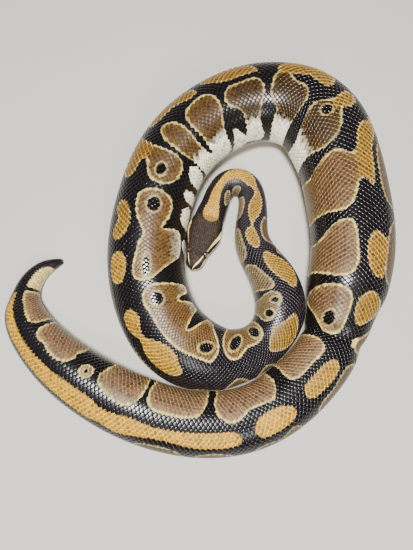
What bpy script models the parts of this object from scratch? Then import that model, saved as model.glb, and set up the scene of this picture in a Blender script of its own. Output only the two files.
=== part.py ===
"""A coiled ball python at rest, life size, in metres, +Z up, lying on the floor at z = 0.

The body is one loft along a lie line from the tail tip to the snout, cut into named lengths.
Stations along the body are millimetres from the tail tip; sections are loaf-shaped, flat below.
"""
import math

import bmesh
import bpy
import numpy as np

MM = 0.001
GAP_MM = 0.3          # between two neighbouring solids
SECTION_POINTS = 22   # corners of one body section
RING_STEP_MM = 8.5    # between two sections of the trunk
HEAD_STEP_MM = 3.0    # between two sections of the head

# How the body lies on the floor, tail tip first and snout last, seen from above.
LIE_MM = [
    (-127, 20), (-142, 12), (-153, -6), (-152, -28), (-137, -51),            # tail hook
    (-99, -82), (-53, -105), (-5, -116), (40, -109), (79, -82), (100, -55),  # front run
    (112, -20), (122, 25), (121, 70), (112, 117), (87, 155), (50, 163),      # right and far bends
    (11, 149), (-25, 115), (-44, 68), (-50.5, 20), (-42.4, -23.2), (-21.8, -53.9),   # left bend
    (8, -65.3), (40.9, -57.05), (60.2, -31.5), (55.2, 3), (40.3, 34), (40.8, 60),          # inner bend
    (41, 77), (37.5, 87.2), (29.2, 92.8), (19.7, 91.2), (12.8, 83.5),         # neck loop
    (8, 70.5), (3.2, 57), (-12, 11.2),                                         # nape, head
]
CENTRE_MM = (-5.3, 28.0)  # the middle of the coil's box in the same plan

# Body width at stations along it: tail, vent, trunk, the thickest bend, neck.
WIDTHS_MM = [
    (0, 4), (10, 10), (22, 15), (45, 22), (62, 32), (90, 39), (140, 47), (190, 50), (240, 49), (310, 49),
    (365, 48), (390, 53), (418, 64), (465, 68), (520, 70), (560, 73), (590, 71), (620, 68),
    (660, 67), (745, 65), (800, 64), (871, 62.6), (906, 60.6), (932, 52.7), (952, 43.6), (978, 38.2),
    (1009, 41.6), (1029, 39.6), (1054, 33.5), (1093.5, 27.5), (1123.5, 24), (1153.5, 24), (1185.5, 26.5),
]
TALL_TO_WIDE = [(0, 0.94), (100, 0.86), (360, 0.82), (430, 0.84), (900, 0.85), (1053, 0.88), (1183.5, 0.8)]
WIDEST_LEVEL = 0.45     # height of the widest line, as a share of the height
FOLD_AT_MM, FOLD_DEPTH, FOLD_REACH_MM = 372.0, 0.06, 6.0  # skin fold across the tight bend

# The head, by distance behind the snout tip: half width, top, mouth line, underside.
HEAD_BACK_MM = 47.0
HEAD_MM = [
    (0.0, 2.6, 6.6, 3.6, 2.8), (0.7, 4.2, 7.6, 3.5, 1.8), (2.0, 5.8, 8.7, 3.5, 1.1), (4.0, 7.2, 9.6, 3.8, 0.6),
    (7.0, 8.4, 10.4, 4.2, 0.3), (11.0, 9.3, 11.9, 4.6, 0.1), (15.0, 10.0, 13.6, 4.8, 0.0),
    (20.0, 12.0, 15.0, 4.9, 0.0), (26.0, 14.2, 16.2, 4.5, 0.0), (32.0, 15.4, 17.0, 4.4, 0.0),
    (38.0, 15.2, 17.5, 5.2, 0.0), (47.0, 13.4, 18.6, 6.0, 0.0),
]
GAPE_END_MM = 35.5            # back end of the mouth slit
HEAD_ROLL_DEG, ROLL_FROM_MM = 6.0, 1143.5  # the head leans on its left jaw, shared out along the neck
EYE_BACK_MM, EYE_RADIUS_MM, EYE_LEVEL_MM, EYE_INSET_MM = 15.2, 2.9, 9.6, 2.1
SOCKET_RADIUS_MM = EYE_RADIUS_MM + GAP_MM

# Where the lengths are parted, from the tail tip to the back of the head.
LENGTHS = [
    ("tail_tip", 0), ("tail", 58), ("trunk_1", 122), ("trunk_2", 205), ("trunk_3", 288), ("trunk_4", 370),
    ("trunk_5", 460), ("trunk_6", 545), ("trunk_7", 625), ("trunk_8", 705), ("trunk_9", 790),
    ("trunk_10", 870), ("trunk_11", 936), ("trunk_12", 994), ("neck_1", 1048), ("neck_2", 1095), ("neck_3", 1137),
]

BLACK_SCALE = (0.016, 0.012, 0.011)
TAN_SCALE = (0.26, 0.17, 0.085)
HEAD_SCALE = (0.045, 0.026, 0.017)
BELLY_SCALE = (0.78, 0.72, 0.58)
EYE_GLASS = (0.008, 0.006, 0.006)


def through(xs, ys, at):
    """Values at the places `at` of the natural cubic spline through (xs, ys)."""
    xs, ys = np.asarray(xs, float), np.asarray(ys, float)
    h = np.diff(xs)
    slope = (np.diff(ys, axis=0).T / h).T
    system, rhs = np.eye(len(xs)), np.zeros_like(ys)
    for i in range(1, len(xs) - 1):
        system[i, i - 1:i + 2] = h[i - 1], 2 * (h[i - 1] + h[i]), h[i]
        rhs[i] = 6 * (slope[i] - slope[i - 1])
    bend = np.linalg.solve(system, rhs)
    i = np.clip(np.searchsorted(xs, at) - 1, 0, len(xs) - 2)
    t, hi = (at - xs[i])[:, None], h[i][:, None]
    rise = slope[i] - hi * (2 * bend[i] + bend[i + 1]) / 6
    return ys[i] + t * rise + t**2 * bend[i] / 2 + t**3 * (bend[i + 1] - bend[i]) / (6 * hi)


def steady(pairs, at):
    """A curve through (place, value) pairs that never overshoots them."""
    x, y = np.array(pairs, float).T
    h, d = np.diff(x), np.diff(y) / np.diff(x)
    m = np.concatenate([d[:1], np.zeros(len(x) - 2), d[-1:]])
    for i in range(1, len(x) - 1):
        if d[i - 1] * d[i] > 0:
            a, b = 2 * h[i] + h[i - 1], h[i] + 2 * h[i - 1]
            m[i] = (a + b) / (a / d[i - 1] + b / d[i])
    at = np.clip(at, x[0], x[-1])
    i = np.clip(np.searchsorted(x, at) - 1, 0, len(x) - 2)
    t = (at - x[i]) / h[i]
    ends = (2 * t**3 - 3 * t**2 + 1) * y[i] + (3 * t**2 - 2 * t**3) * y[i + 1]
    return ends + (t**3 - 2 * t**2 + t) * h[i] * m[i] + (t**3 - t**2) * h[i] * m[i + 1]


def lie_line():
    """Stations every half millimetre, the plan position there, and the heading as a unit vector."""
    points = np.array(LIE_MM, float)
    chord = np.concatenate([[0], np.cumsum(np.linalg.norm(np.diff(points, axis=0), axis=1))])
    dense = through(chord, points, np.linspace(0, chord[-1], 6000))
    run = np.concatenate([[0], np.cumsum(np.linalg.norm(np.diff(dense, axis=0), axis=1))])
    stations = np.arange(0, run[-1], 0.5)
    plan = np.stack([np.interp(stations, run, dense[:, k]) for k in (0, 1)], axis=1)
    heading = np.gradient(plan, stations, axis=0)
    heading /= np.linalg.norm(heading, axis=1)[:, None]
    return stations, plan - CENTRE_MM, heading, run[-1]


STATIONS, PLAN, HEADING, LENGTH_MM = lie_line()


def superellipse(half, top, widest, low, p_top, p_low, count):
    """A closed section, from the top point round by the snake's left side: (left, up) pairs."""
    a = np.linspace(0, 2 * np.pi, count, endpoint=False) + 1e-9
    s, c = np.sin(a), np.cos(a)
    p = np.where(c > 0, p_top, p_low)
    left = half * np.sign(s) * np.abs(s) ** (2 / p)
    rise = np.abs(c) ** (2 / p)
    up = np.where(c > 0, widest + (top - widest) * rise, widest - 1.05 * (widest - low) * rise)
    return np.stack([left, np.maximum(up, low)], axis=1)


def body_section(s, count):
    """The loaf-shaped section of the trunk, neck or tail."""
    at = np.array([s])
    fold = 1 - FOLD_DEPTH * math.exp(-(((s - FOLD_AT_MM) / FOLD_REACH_MM) ** 2))
    width = steady(WIDTHS_MM, at)[0] * fold
    tall = width * steady(TALL_TO_WIDE, at)[0]
    return superellipse(width / 2, tall, tall * WIDEST_LEVEL, 0, 2.15, 2.6, count)


def head_section(back, count):
    """The section of the head, flatter on top and squarer at the jaw than the neck."""
    table = np.array(HEAD_MM)
    half, top, _, low = (steady(table[:, [0, k]], np.array([back]))[0] for k in (1, 2, 3, 4))
    return superellipse(half, top, low + 0.47 * (top - low), low, 2.3, 2.5, count)


def section(s, count=SECTION_POINTS):
    """The section at a station: the neck's and the head's shapes are blended at the nape."""
    back = LENGTH_MM - s
    if back >= HEAD_BACK_MM + 14:
        return body_section(s, count)
    if back <= HEAD_BACK_MM:
        return head_section(back, count)
    share = (back - HEAD_BACK_MM) / 14
    share = share * share * (3 - 2 * share)
    return share * body_section(s, count) + (1 - share) * head_section(HEAD_BACK_MM, count)


def place(s, section_mm, ahead=0.0):
    """Points (left, up) of the section at a station, leaned by the head's roll, in metres.

    They can be moved `ahead` millimetres straight along the heading there."""
    k = min(int(s * 2), len(STATIONS) - 2)
    t = s * 2 - k
    plan = PLAN[k] + (PLAN[k + 1] - PLAN[k]) * t
    along = HEADING[k] * (1 - t) + HEADING[k + 1] * t
    left = np.array([-along[1], along[0]]) / np.linalg.norm(along)
    roll = math.radians(HEAD_ROLL_DEG) * float(np.clip((s - ROLL_FROM_MM) / (LENGTH_MM - 40 - ROLL_FROM_MM), 0, 1))
    own = section(s)
    lean = lambda p: np.stack([p[:, 0] * math.cos(roll) - p[:, 1] * math.sin(roll),
                               p[:, 0] * math.sin(roll) + p[:, 1] * math.cos(roll)], axis=1)
    low_end = own[:, 1].min() if s > LENGTH_MM - 12 else 0.0
    lift = low_end - lean(own)[:, 1].min()
    p = lean(np.asarray(section_mm, float))
    flat = plan + p[:, :1] * left + ahead * along
    return np.column_stack([flat, p[:, 1] + max(lift, 0.0)]) * MM


def material(name, colour, roughness):
    made = bpy.data.materials.new(name)
    made.use_nodes = True
    shader = made.node_tree.nodes["Principled BSDF"]
    shader.inputs["Base Color"].default_value = (*colour, 1)
    shader.inputs["Roughness"].default_value = roughness
    shader.inputs["Metallic"].default_value = 0.0
    return made


def new_object(name, mesh, mat, collection):
    """An object in its collection, shaded smooth but for its sharp rims."""
    obj = bpy.data.objects.new(name, mesh)
    collection.objects.link(obj)
    mesh.materials.append(mat)
    mesh.shade_smooth()
    mesh.set_sharp_from_angle(angle=math.radians(50))
    return obj


def loft(name, rings, mat, collection):
    """A closed solid through rings of equal count, with a flat cap at each end."""
    bm = bmesh.new()
    rows = [[bm.verts.new(p) for p in ring] for ring in rings]
    for a, b in zip(rows, rows[1:]):
        for i in range(len(a)):
            j = (i + 1) % len(a)
            bm.faces.new((a[i], a[j], b[j], b[i]))
    bm.faces.new(rows[0])
    bm.faces.new(rows[-1])
    bmesh.ops.recalc_face_normals(bm, faces=bm.faces)
    mesh = bpy.data.meshes.new(name)
    bm.to_mesh(mesh)
    bm.free()
    return new_object(name, mesh, mat, collection)


def body_length(name, start, end, mat):
    """One length of the body, half a gap short at each end and parallel to its neighbours there."""
    count = max(2, round((end - start) / (RING_STEP_MM if end < 1045 else 5.0)))
    stops = list(np.linspace(start, end, count + 1))
    if start == 0:
        stops[1:1] = [1.5, 4.0]
    ahead = [0.0 if start == 0 else GAP_MM / 2] + [0.0] * (len(stops) - 2) + [-GAP_MM / 2]
    return loft(name, [place(s, section(s), a) for s, a in zip(stops, ahead)], mat, SNAKE)


def whole_head(name, mat):
    """The head in one piece, from the snout tip back to the neck."""
    stops = [0.0, 0.7, 2.0, 4.0, *np.arange(7, HEAD_BACK_MM, HEAD_STEP_MM), HEAD_BACK_MM]
    ahead = [0.0] * (len(stops) - 1) + [GAP_MM / 2]
    rings = [place(LENGTH_MM - b, section(LENGTH_MM - b), a) for b, a in zip(stops, ahead)]
    return loft(name, rings, mat, SNAKE)


def below_the_mouth(name, shift):
    """A block whose top follows the mouth line, for parting the jaw from the head."""
    table = np.array(HEAD_MM)
    stops = np.concatenate([[-3.0], np.linspace(0.0, GAPE_END_MM + shift, 12)])
    rings = []
    for b in stops:
        mouth = steady(table[:, [0, 3]], np.array([b]))[0] + shift
        corners = np.array([(24, mouth), (24, -12), (-24, -12), (-24, mouth)], float)
        ring = place(LENGTH_MM - max(b, 0), corners)
        if b < 0:
            ring[:, :2] -= HEADING[-1] * b * MM
        rings.append(ring)
    return as_cutter(loft(name, rings, CUTTER, CUTTERS))


def as_cutter(obj):
    obj.hide_render = True
    obj.display_type = "WIRE"
    return obj


def combine(obj, other, operation):
    boolean = obj.modifiers.new(operation.lower(), "BOOLEAN")
    boolean.object, boolean.operation, boolean.solver = other, operation, "EXACT"


def eye_centre(side):
    """Where an eyeball sits: near the widest line, a little sunk; side is 1 for left, -1 for right."""
    half = steady(np.array(HEAD_MM)[:, [0, 1]], np.array([EYE_BACK_MM]))[0]
    return place(LENGTH_MM - EYE_BACK_MM, [(side * (half - EYE_INSET_MM), EYE_LEVEL_MM)])[0]


def ball(name, centre, radius_mm, mat, collection):
    bpy.ops.mesh.primitive_uv_sphere_add(segments=18, ring_count=11, radius=radius_mm * MM, location=centre)
    obj = bpy.context.object
    obj.name = obj.data.name = name
    for owner in list(obj.users_collection):
        owner.objects.unlink(obj)
    collection.objects.link(obj)
    obj.data.materials.append(mat)
    obj.data.shade_smooth()
    return obj


def build():
    black = material("black_scales", BLACK_SCALE, 0.34)
    tan = material("tan_scales", TAN_SCALE, 0.45)
    brown = material("head_scales", HEAD_SCALE, 0.34)
    pale = material("jaw_scales", BELLY_SCALE, 0.45)
    glass = material("eye", EYE_GLASS, 0.08)
    ends = [start for _, start in LENGTHS[1:]] + [LENGTH_MM - HEAD_BACK_MM]
    for number, ((name, start), end) in enumerate(zip(LENGTHS, ends)):
        body_length(name, start, end, tan if number % 2 else black)
    head, jaw = whole_head("head", brown), whole_head("lower_jaw", pale)
    combine(head, below_the_mouth("mouth_above", GAP_MM / 2), "DIFFERENCE")
    combine(jaw, below_the_mouth("mouth_below", -GAP_MM / 2), "INTERSECT")
    for name, side in (("eye_left", 1), ("eye_right", -1)):
        ball(name, eye_centre(side), EYE_RADIUS_MM, glass, SNAKE)
        socket = ball("socket_" + name, eye_centre(side), SOCKET_RADIUS_MM, CUTTER, CUTTERS)
        combine(head, as_cutter(socket), "DIFFERENCE")


for old in list(bpy.data.objects):
    bpy.data.objects.remove(old, do_unlink=True)
SNAKE, CUTTERS = bpy.data.collections.new("ball_python"), bpy.data.collections.new("cutters")
for made in (SNAKE, CUTTERS):
    bpy.context.scene.collection.children.link(made)
CUTTER = material("cutter", EYE_GLASS, 1.0)
build()
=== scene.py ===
"""A coiled ball python, life size, in metres, with +Z up: studio, skin, back scales, belly plates,
head shields and eyes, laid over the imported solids."""
import math

import bmesh
import bpy
import numpy as np
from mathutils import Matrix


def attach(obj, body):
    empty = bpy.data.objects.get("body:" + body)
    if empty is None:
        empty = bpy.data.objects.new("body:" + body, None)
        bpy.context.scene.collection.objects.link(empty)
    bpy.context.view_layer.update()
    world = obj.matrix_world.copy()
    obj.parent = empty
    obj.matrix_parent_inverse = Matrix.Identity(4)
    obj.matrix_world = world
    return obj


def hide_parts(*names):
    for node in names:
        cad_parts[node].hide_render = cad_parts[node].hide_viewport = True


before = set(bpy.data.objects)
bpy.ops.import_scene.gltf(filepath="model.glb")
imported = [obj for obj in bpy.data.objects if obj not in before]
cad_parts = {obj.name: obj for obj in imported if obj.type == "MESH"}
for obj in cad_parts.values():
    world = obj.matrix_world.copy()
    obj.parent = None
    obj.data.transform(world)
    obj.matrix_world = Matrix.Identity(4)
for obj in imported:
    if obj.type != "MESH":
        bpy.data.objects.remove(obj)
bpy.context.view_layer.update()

# ---- The studio -------------------------------------------------------------------------------
# A plain pale floor under the coil, one big soft light overhead, a weaker one from the front,
# and a camera above the floor looking down at the coil from its tail side.

FLOOR_REACH_M = 3
SOFTBOXES = (  # name, place in metres, side in metres and power in watts: both aim at the origin
    ("overhead_softbox", (-0.05, -0.10, 1.2), 0.24, 36.0),
    ("front_softbox", (0.30, -0.80, 0.80), 0.4, 6.5),
)
AIR_TONE, AIR_STRENGTH = (1.0, 0.985, 0.96, 1), 0.13
CAMERA_AT_M, CAMERA_TILT_DEG = (0.0053, -0.1127, 0.3696), 14.0
LENS_MM, SENSOR_MM = 28.15, 36.0


def linear(hex_colour):
    """An sRGB hex colour as linear red, green and blue."""
    c = np.array([int(hex_colour[i:i + 2], 16) for i in (1, 3, 5)]) / 255
    return np.where(c <= 0.04045, c / 12.92, ((c + 0.055) / 1.055) ** 2.4)


def wire(tree, made, **links):
    """Sets a node's inputs, as values or as linked sockets. Base_Color is the input "Base Color",
    and n6 is the input number 6."""
    for key, value in links.items():
        name = key.replace("_", " ")
        at = next((s for s in made.inputs if s.name == name and s.enabled), None)
        if at is None:
            at = made.inputs[int(key[1:])]
        if isinstance(value, bpy.types.NodeSocket):
            tree.links.new(value, at)
        else:
            at.default_value = value
    return made


def node(tree, kind, settings=None, **links):
    """Adds a node to a tree, with its settings, and its inputs as values or as linked sockets."""
    made = tree.nodes.new(kind)
    for key, value in (settings or {}).items():
        setattr(made, key, value)
    return wire(tree, made, **links)


def plain_material(name):
    """A new material, its node tree and its shader node."""
    made = bpy.data.materials.new(name)
    made.use_nodes = True
    return made, made.node_tree, made.node_tree.nodes["Principled BSDF"]


floor_mesh = bpy.data.meshes.new("floor")
floor_mesh.from_pydata([(x * FLOOR_REACH_M, y * FLOOR_REACH_M, 0)
                        for x, y in ((-1, -1), (1, -1), (1, 1), (-1, 1))], [], [(0, 1, 2, 3)])
floor = bpy.data.objects.new("floor", floor_mesh)
bpy.context.scene.collection.objects.link(floor)

# Backdrop paper: uncoated and faintly uneven, so it takes soft shadows and shows no gloss.
paper, paper_tree, paper_shader = plain_material("matt_backdrop_paper")
paper_grain = node(paper_tree, "ShaderNodeTexNoise", Scale=60.0, Detail=3.0)
paper_tone = node(paper_tree, "ShaderNodeMix", {"data_type": "RGBA"}, Factor=paper_grain.outputs["Fac"],
                  n6=(*linear("#b9b5ad"), 1), n7=(*linear("#bebab2"), 1))
wire(paper_tree, paper_shader, Base_Color=paper_tone.outputs[2], Roughness=0.9)
floor_mesh.materials.append(paper)

for name, place_at, side, power in SOFTBOXES:
    lamp = bpy.data.lights.new(name, "AREA")
    lamp.shape, lamp.size, lamp.energy = "SQUARE", side, power
    lamp_object = bpy.data.objects.new(name, lamp)
    bpy.context.scene.collection.objects.link(lamp_object)
    lamp_object.location = place_at
    away = np.array(place_at, float)
    lamp_object.rotation_euler = (math.acos(away[2] / np.linalg.norm(away)), 0,
                                  math.atan2(away[1], away[0]) + math.pi / 2)
world = bpy.data.worlds.new("studio_air")
world.use_nodes = True
wire(world.node_tree, world.node_tree.nodes["Background"], Color=AIR_TONE, Strength=AIR_STRENGTH)
bpy.context.scene.world = world

lens = bpy.data.cameras.new("camera")
lens.lens, lens.sensor_width, lens.clip_start = LENS_MM, SENSOR_MM, 0.01
camera = bpy.data.objects.new("camera", lens)
bpy.context.scene.collection.objects.link(camera)
camera.location = CAMERA_AT_M
camera.rotation_euler = (math.radians(CAMERA_TILT_DEG), 0, 0)
bpy.context.scene.camera = camera

# ---- The skin ---------------------------------------------------------------------------------
# One soft tube of skin from the tail tip to the snout, closed at both ends, with the brow, the lips
# and the mouth line pressed into it. It lies half a millimetre inside the solids, under the scales.

# The skin's own sizes, in millimetres: its course over the floor from the tail tip to the snout, its
# width and height at stations along that course, and the head's half widths and levels.
LIE_MM = [
    (-127, 20), (-142, 12), (-153, -6), (-152, -28), (-137, -51), (-99, -82), (-53, -105), (-5, -116),
    (40, -109), (79, -82), (100, -55), (112, -20), (122, 25), (121, 70), (112, 117), (87, 155), (50, 163),
    (11, 149), (-25, 115), (-44, 68), (-50.5, 20), (-42.4, -23.2), (-21.8, -53.9), (8, -65.3),
    (40.9, -57.05), (60.2, -31.5), (55.2, 3), (40.3, 34), (40.8, 60), (41, 77), (37.5, 87.2),
    (29.2, 92.8), (19.7, 91.2), (12.8, 83.5), (8, 70.5), (3.2, 57), (-12, 11.2),
]
COURSE_POINTS = 6000    # how finely that course is measured
CENTRE_MM = (-5.3, 28.0)
WIDTHS_MM = [
    (0, 4), (10, 10), (22, 15), (45, 22), (62, 32), (90, 39), (140, 47), (190, 50), (240, 49), (310, 49),
    (365, 48), (390, 53), (418, 64), (465, 68), (520, 70), (560, 73), (590, 71), (620, 68), (660, 67),
    (745, 65), (800, 64), (871, 62.6), (906, 60.6), (932, 52.7), (952, 43.6), (978, 38.2), (1009, 41.6),
    (1029, 39.6), (1054, 33.5), (1093.5, 27.5), (1123.5, 24), (1153.5, 24), (1185.5, 26.5),
]
TALL_TO_WIDE = [
    (0, 0.94), (100, 0.86), (360, 0.82), (430, 0.84), (900, 0.85), (1053, 0.88), (1183.5, 0.8)]
FOLD_AT_MM, FOLD_REACH_MM, FOLD_SHARE = 372.0, 6.0, 0.06    # the nip of loose skin at the tightest bend
HEAD_MM = np.array([  # behind the snout tip: half width, top, mouth line, underside
    (0.0, 2.6, 6.6, 3.6, 2.8), (0.7, 4.2, 7.6, 3.5, 1.8), (2.0, 5.8, 8.7, 3.5, 1.1),
    (4.0, 7.2, 9.6, 3.8, 0.6), (7.0, 8.4, 10.4, 4.2, 0.3), (11.0, 9.3, 11.9, 4.6, 0.1),
    (15.0, 10.0, 13.6, 4.8, 0.0), (20.0, 12.0, 15.0, 4.9, 0.0), (26.0, 14.2, 16.2, 4.5, 0.0),
    (32.0, 15.4, 17.0, 4.4, 0.0), (38.0, 15.2, 17.5, 5.2, 0.0), (47.0, 13.4, 18.6, 6.0, 0.0),
])
HALF_WIDTH, TOP, MOUTH, UNDERSIDE = 1, 2, 3, 4              # the columns of HEAD_MM
HEAD_BACK_MM, HEAD_FADE_MM, GAPE_END_MM = 47.0, 14.0, 35.5
SNOUT_RISES_MM = 12.0   # how much of the head, from the snout, rises clear of the floor
# the head's lean, the station where the neck begins to lean, and where behind the snout it is full
HEAD_ROLL_DEG, ROLL_FROM_MM, ROLL_FULL_MM = 6.0, 1143.5, 40
EYE_BACK_MM, EYE_RADIUS_MM, EYE_LEVEL_MM, EYE_INSET_MM = 15.2, 2.7, 9.3, 2.55
BODY_WIDEST, BODY_POWERS = 0.45, (2.15, 2.6)    # the widest line's level; squareness over and under it
HEAD_WIDEST, HEAD_POWERS = 0.47, (2.3, 2.5)
RESTING_FLAT = 1.05     # the lower half is made this much deeper and cut off flat where it rests
FEATURES_FULL_MM, FEATURES_END_MM = 41.0, 51.0      # where the head's features fade into the neck
SKIN_UNDER_MM = 0.5     # depth of the scales over the skin
TAIL_UNDER_MM, TAIL_THIN_MM = 0.25, 20      # the same at the tail tip, and how far from it that grows


def through(xs, ys, at):
    """Values at the places `at` of the natural cubic spline through (xs, ys)."""
    xs, ys = np.asarray(xs, float), np.asarray(ys, float)
    h = np.diff(xs)
    slope = (np.diff(ys, axis=0).T / h).T
    system, rhs = np.eye(len(xs)), np.zeros_like(ys)
    for i in range(1, len(xs) - 1):
        system[i, i - 1:i + 2] = h[i - 1], 2 * (h[i - 1] + h[i]), h[i]
        rhs[i] = 6 * (slope[i] - slope[i - 1])
    bend = np.linalg.solve(system, rhs)
    i = np.clip(np.searchsorted(xs, at) - 1, 0, len(xs) - 2)
    t, hi = (at - xs[i])[:, None], h[i][:, None]
    rise = slope[i] - hi * (2 * bend[i] + bend[i + 1]) / 6
    return ys[i] + t * rise + t**2 * bend[i] / 2 + t**3 * (bend[i + 1] - bend[i]) / (6 * hi)


def steady(pairs, at):
    """A curve through (place, value) pairs that never overshoots them."""
    x, y = np.array(pairs, float).T
    h, d = np.diff(x), np.diff(y) / np.diff(x)
    m = np.concatenate([d[:1], np.zeros(len(x) - 2), d[-1:]])
    for i in range(1, len(x) - 1):
        if d[i - 1] * d[i] > 0:
            a, b = 2 * h[i] + h[i - 1], h[i] + 2 * h[i - 1]
            m[i] = (a + b) / (a / d[i - 1] + b / d[i])
    at = np.clip(at, x[0], x[-1])
    i = np.clip(np.searchsorted(x, at) - 1, 0, len(x) - 2)
    t = (at - x[i]) / h[i]
    ends = (2 * t**3 - 3 * t**2 + 1) * y[i] + (3 * t**2 - 2 * t**3) * y[i + 1]
    return ends + (t**3 - 2 * t**2 + t) * h[i] * m[i] + (t**3 - t**2) * h[i] * m[i + 1]


def step(x, start, end):
    """A smooth step from 0 at start to 1 at end."""
    t = np.clip((np.asarray(x, float) - start) / (end - start), 0, 1)
    return t * t * (3 - 2 * t)


# The smooth line through those places: where it runs and heads, at every half millimetre of its length.
points = np.array(LIE_MM, float)
chord = np.concatenate([[0], np.cumsum(np.linalg.norm(np.diff(points, axis=0), axis=1))])
dense = through(chord, points, np.linspace(0, chord[-1], COURSE_POINTS))
run = np.concatenate([[0], np.cumsum(np.linalg.norm(np.diff(dense, axis=0), axis=1))])
LENGTH_MM = run[-1]
half_mm = np.arange(0, LENGTH_MM, 0.5)
plan = np.stack([np.interp(half_mm, run, dense[:, k]) for k in (0, 1)], axis=1)
heading = np.gradient(plan, half_mm, axis=0)
heading /= np.linalg.norm(heading, axis=1)[:, None]
plan -= CENTRE_MM


def superellipse(half, top, widest, low_end, p_top, p_low, count=720):
    """A closed outline of (left, up), widest at one level, with rounder or squarer upper and lower
    halves, and flat at its low end."""
    a = np.linspace(0, 2 * np.pi, count, endpoint=False) + 1e-9
    s, c = np.sin(a), np.cos(a)
    p = np.where(c > 0, p_top, p_low)
    left = half * np.sign(s) * np.abs(s) ** (2 / p)
    rise = np.abs(c) ** (2 / p)
    up = widest + np.where(c > 0, top - widest, -RESTING_FLAT * (widest - low_end)) * rise
    return np.stack([left, np.maximum(up, low_end)], axis=1)


def head_at(back, column):
    """One of the head's measures at places behind the snout, in mm."""
    return steady(HEAD_MM[:, [0, column]], np.atleast_1d(np.asarray(back, float)))


def section(s):
    """The closed section at a station in (left, up) millimetres, from its top round by the left."""
    back = LENGTH_MM - s
    fold = FOLD_SHARE * math.exp(-(((s - FOLD_AT_MM) / FOLD_REACH_MM) ** 2))
    width = steady(WIDTHS_MM, np.array([s]))[0] * (1 - fold)
    tall = width * steady(TALL_TO_WIDE, np.array([s]))[0]
    body = superellipse(width / 2, tall, tall * BODY_WIDEST, 0, *BODY_POWERS)
    if back >= HEAD_BACK_MM + HEAD_FADE_MM:
        return body
    half, top, low_end = (head_at(min(back, HEAD_BACK_MM), k)[0] for k in (HALF_WIDTH, TOP, UNDERSIDE))
    head = superellipse(half, top, low_end + HEAD_WIDEST * (top - low_end), low_end, *HEAD_POWERS)
    share = step(back, HEAD_BACK_MM, HEAD_BACK_MM + HEAD_FADE_MM)
    return share * body + (1 - share) * head


def evened(ring, count):
    """The ring's points spread evenly along it, from the same first point."""
    closed = np.vstack([ring, ring[:1]])
    along = np.concatenate([[0], np.cumsum(np.linalg.norm(np.diff(closed, axis=0), axis=1))])
    at = np.linspace(0, along[-1], count, endpoint=False)
    return np.stack([np.interp(at, along, closed[:, k]) for k in (0, 1)], axis=1), along[-1]


def bell(x, middle, reach):
    """A smooth hump from 0 to 1 and back, centred on the middle."""
    return np.exp(-(((x - middle) / reach) ** 2))


def head_features(back, ring):
    """Brow, canthus, lips, mouth line, jaw muscles and the crown's two furrows, pressed into a section
    of the head."""
    left, up = ring[:, 0].copy(), ring[:, 1].copy()
    half, top, mouth, low_end = (head_at(back, k)[0] for k in (HALF_WIDTH, TOP, MOUTH, UNDERSIDE))
    side = np.abs(left) / half
    out = np.zeros(len(left))
    for high, centre, reach, level, reach_up in (
            (0.75, 15.0, 5.0, 12.6, 1.5),               # brow over the eye
            (0.35, 8.0, 5.0, 9.3, 1.2),                 # canthus, the edge from eye to nostril
            (-0.7, 9.0, 3.5, 7.0, 1.3),                 # the hollow before the eye
            (0.35, 30.0, 8.0, mouth + 3.0, 2.2)):       # jaw muscle
        out += high * (bell(back, centre, reach) * bell(up, level, reach_up) * step(side, 0.45, 0.8))
    lip = 1 - step(back, GAPE_END_MM - 6, GAPE_END_MM + 1)
    out += 0.3 * lip * bell(up - mouth, 1.5, 1.0) * step(side, 0.4, 0.8)
    out += 0.2 * lip * bell(up - mouth, -1.4, 0.9) * step(side, 0.4, 0.8)
    out -= 0.75 * lip * bell(up, mouth, 0.34) * step(side, 0.2, 0.5)
    down = 0.35 * bell(back, 21.0, 7.0) * bell(left, 0, 3.2) * step(up, top - 3, top)
    down += 0.3 * bell(back, 36.0, 9.0) * bell(left, 0, 2.2) * step(up, top - 3, top)
    away = np.stack([left / half, (up - (top + low_end) / 2) / (top - low_end) * 2 * 0.6], axis=1)
    away /= np.linalg.norm(away, axis=1)[:, None] + 1e-9
    return np.stack([left + out * away[:, 0], up + out * away[:, 1] - down], axis=1)


def placed(s, ring):
    """Points of a section in place in the coil, in metres, with the head's lean on its left jaw."""
    k = min(int(s * 2), len(half_mm) - 2)
    t = s * 2 - k
    at = plan[k] + (plan[k + 1] - plan[k]) * t
    along = heading[k] * (1 - t) + heading[k + 1] * t
    left = np.array([-along[1], along[0]]) / np.linalg.norm(along)
    rolled = float(np.clip((s - ROLL_FROM_MM) / (LENGTH_MM - ROLL_FULL_MM - ROLL_FROM_MM), 0, 1))
    roll = math.radians(HEAD_ROLL_DEG) * rolled

    def lean(p):
        return np.stack([p[:, 0] * math.cos(roll) - p[:, 1] * math.sin(roll),
                         p[:, 0] * math.sin(roll) + p[:, 1] * math.cos(roll)], axis=1)

    own = section(s)
    low_end = own[:, 1].min() if s > LENGTH_MM - SNOUT_RISES_MM else 0.0
    lift = max(low_end - lean(own)[:, 1].min(), 0.0)
    p = lean(np.asarray(ring, float))
    return np.column_stack([at + p[:, :1] * left, p[:, 1] + lift]) / 1000


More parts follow.
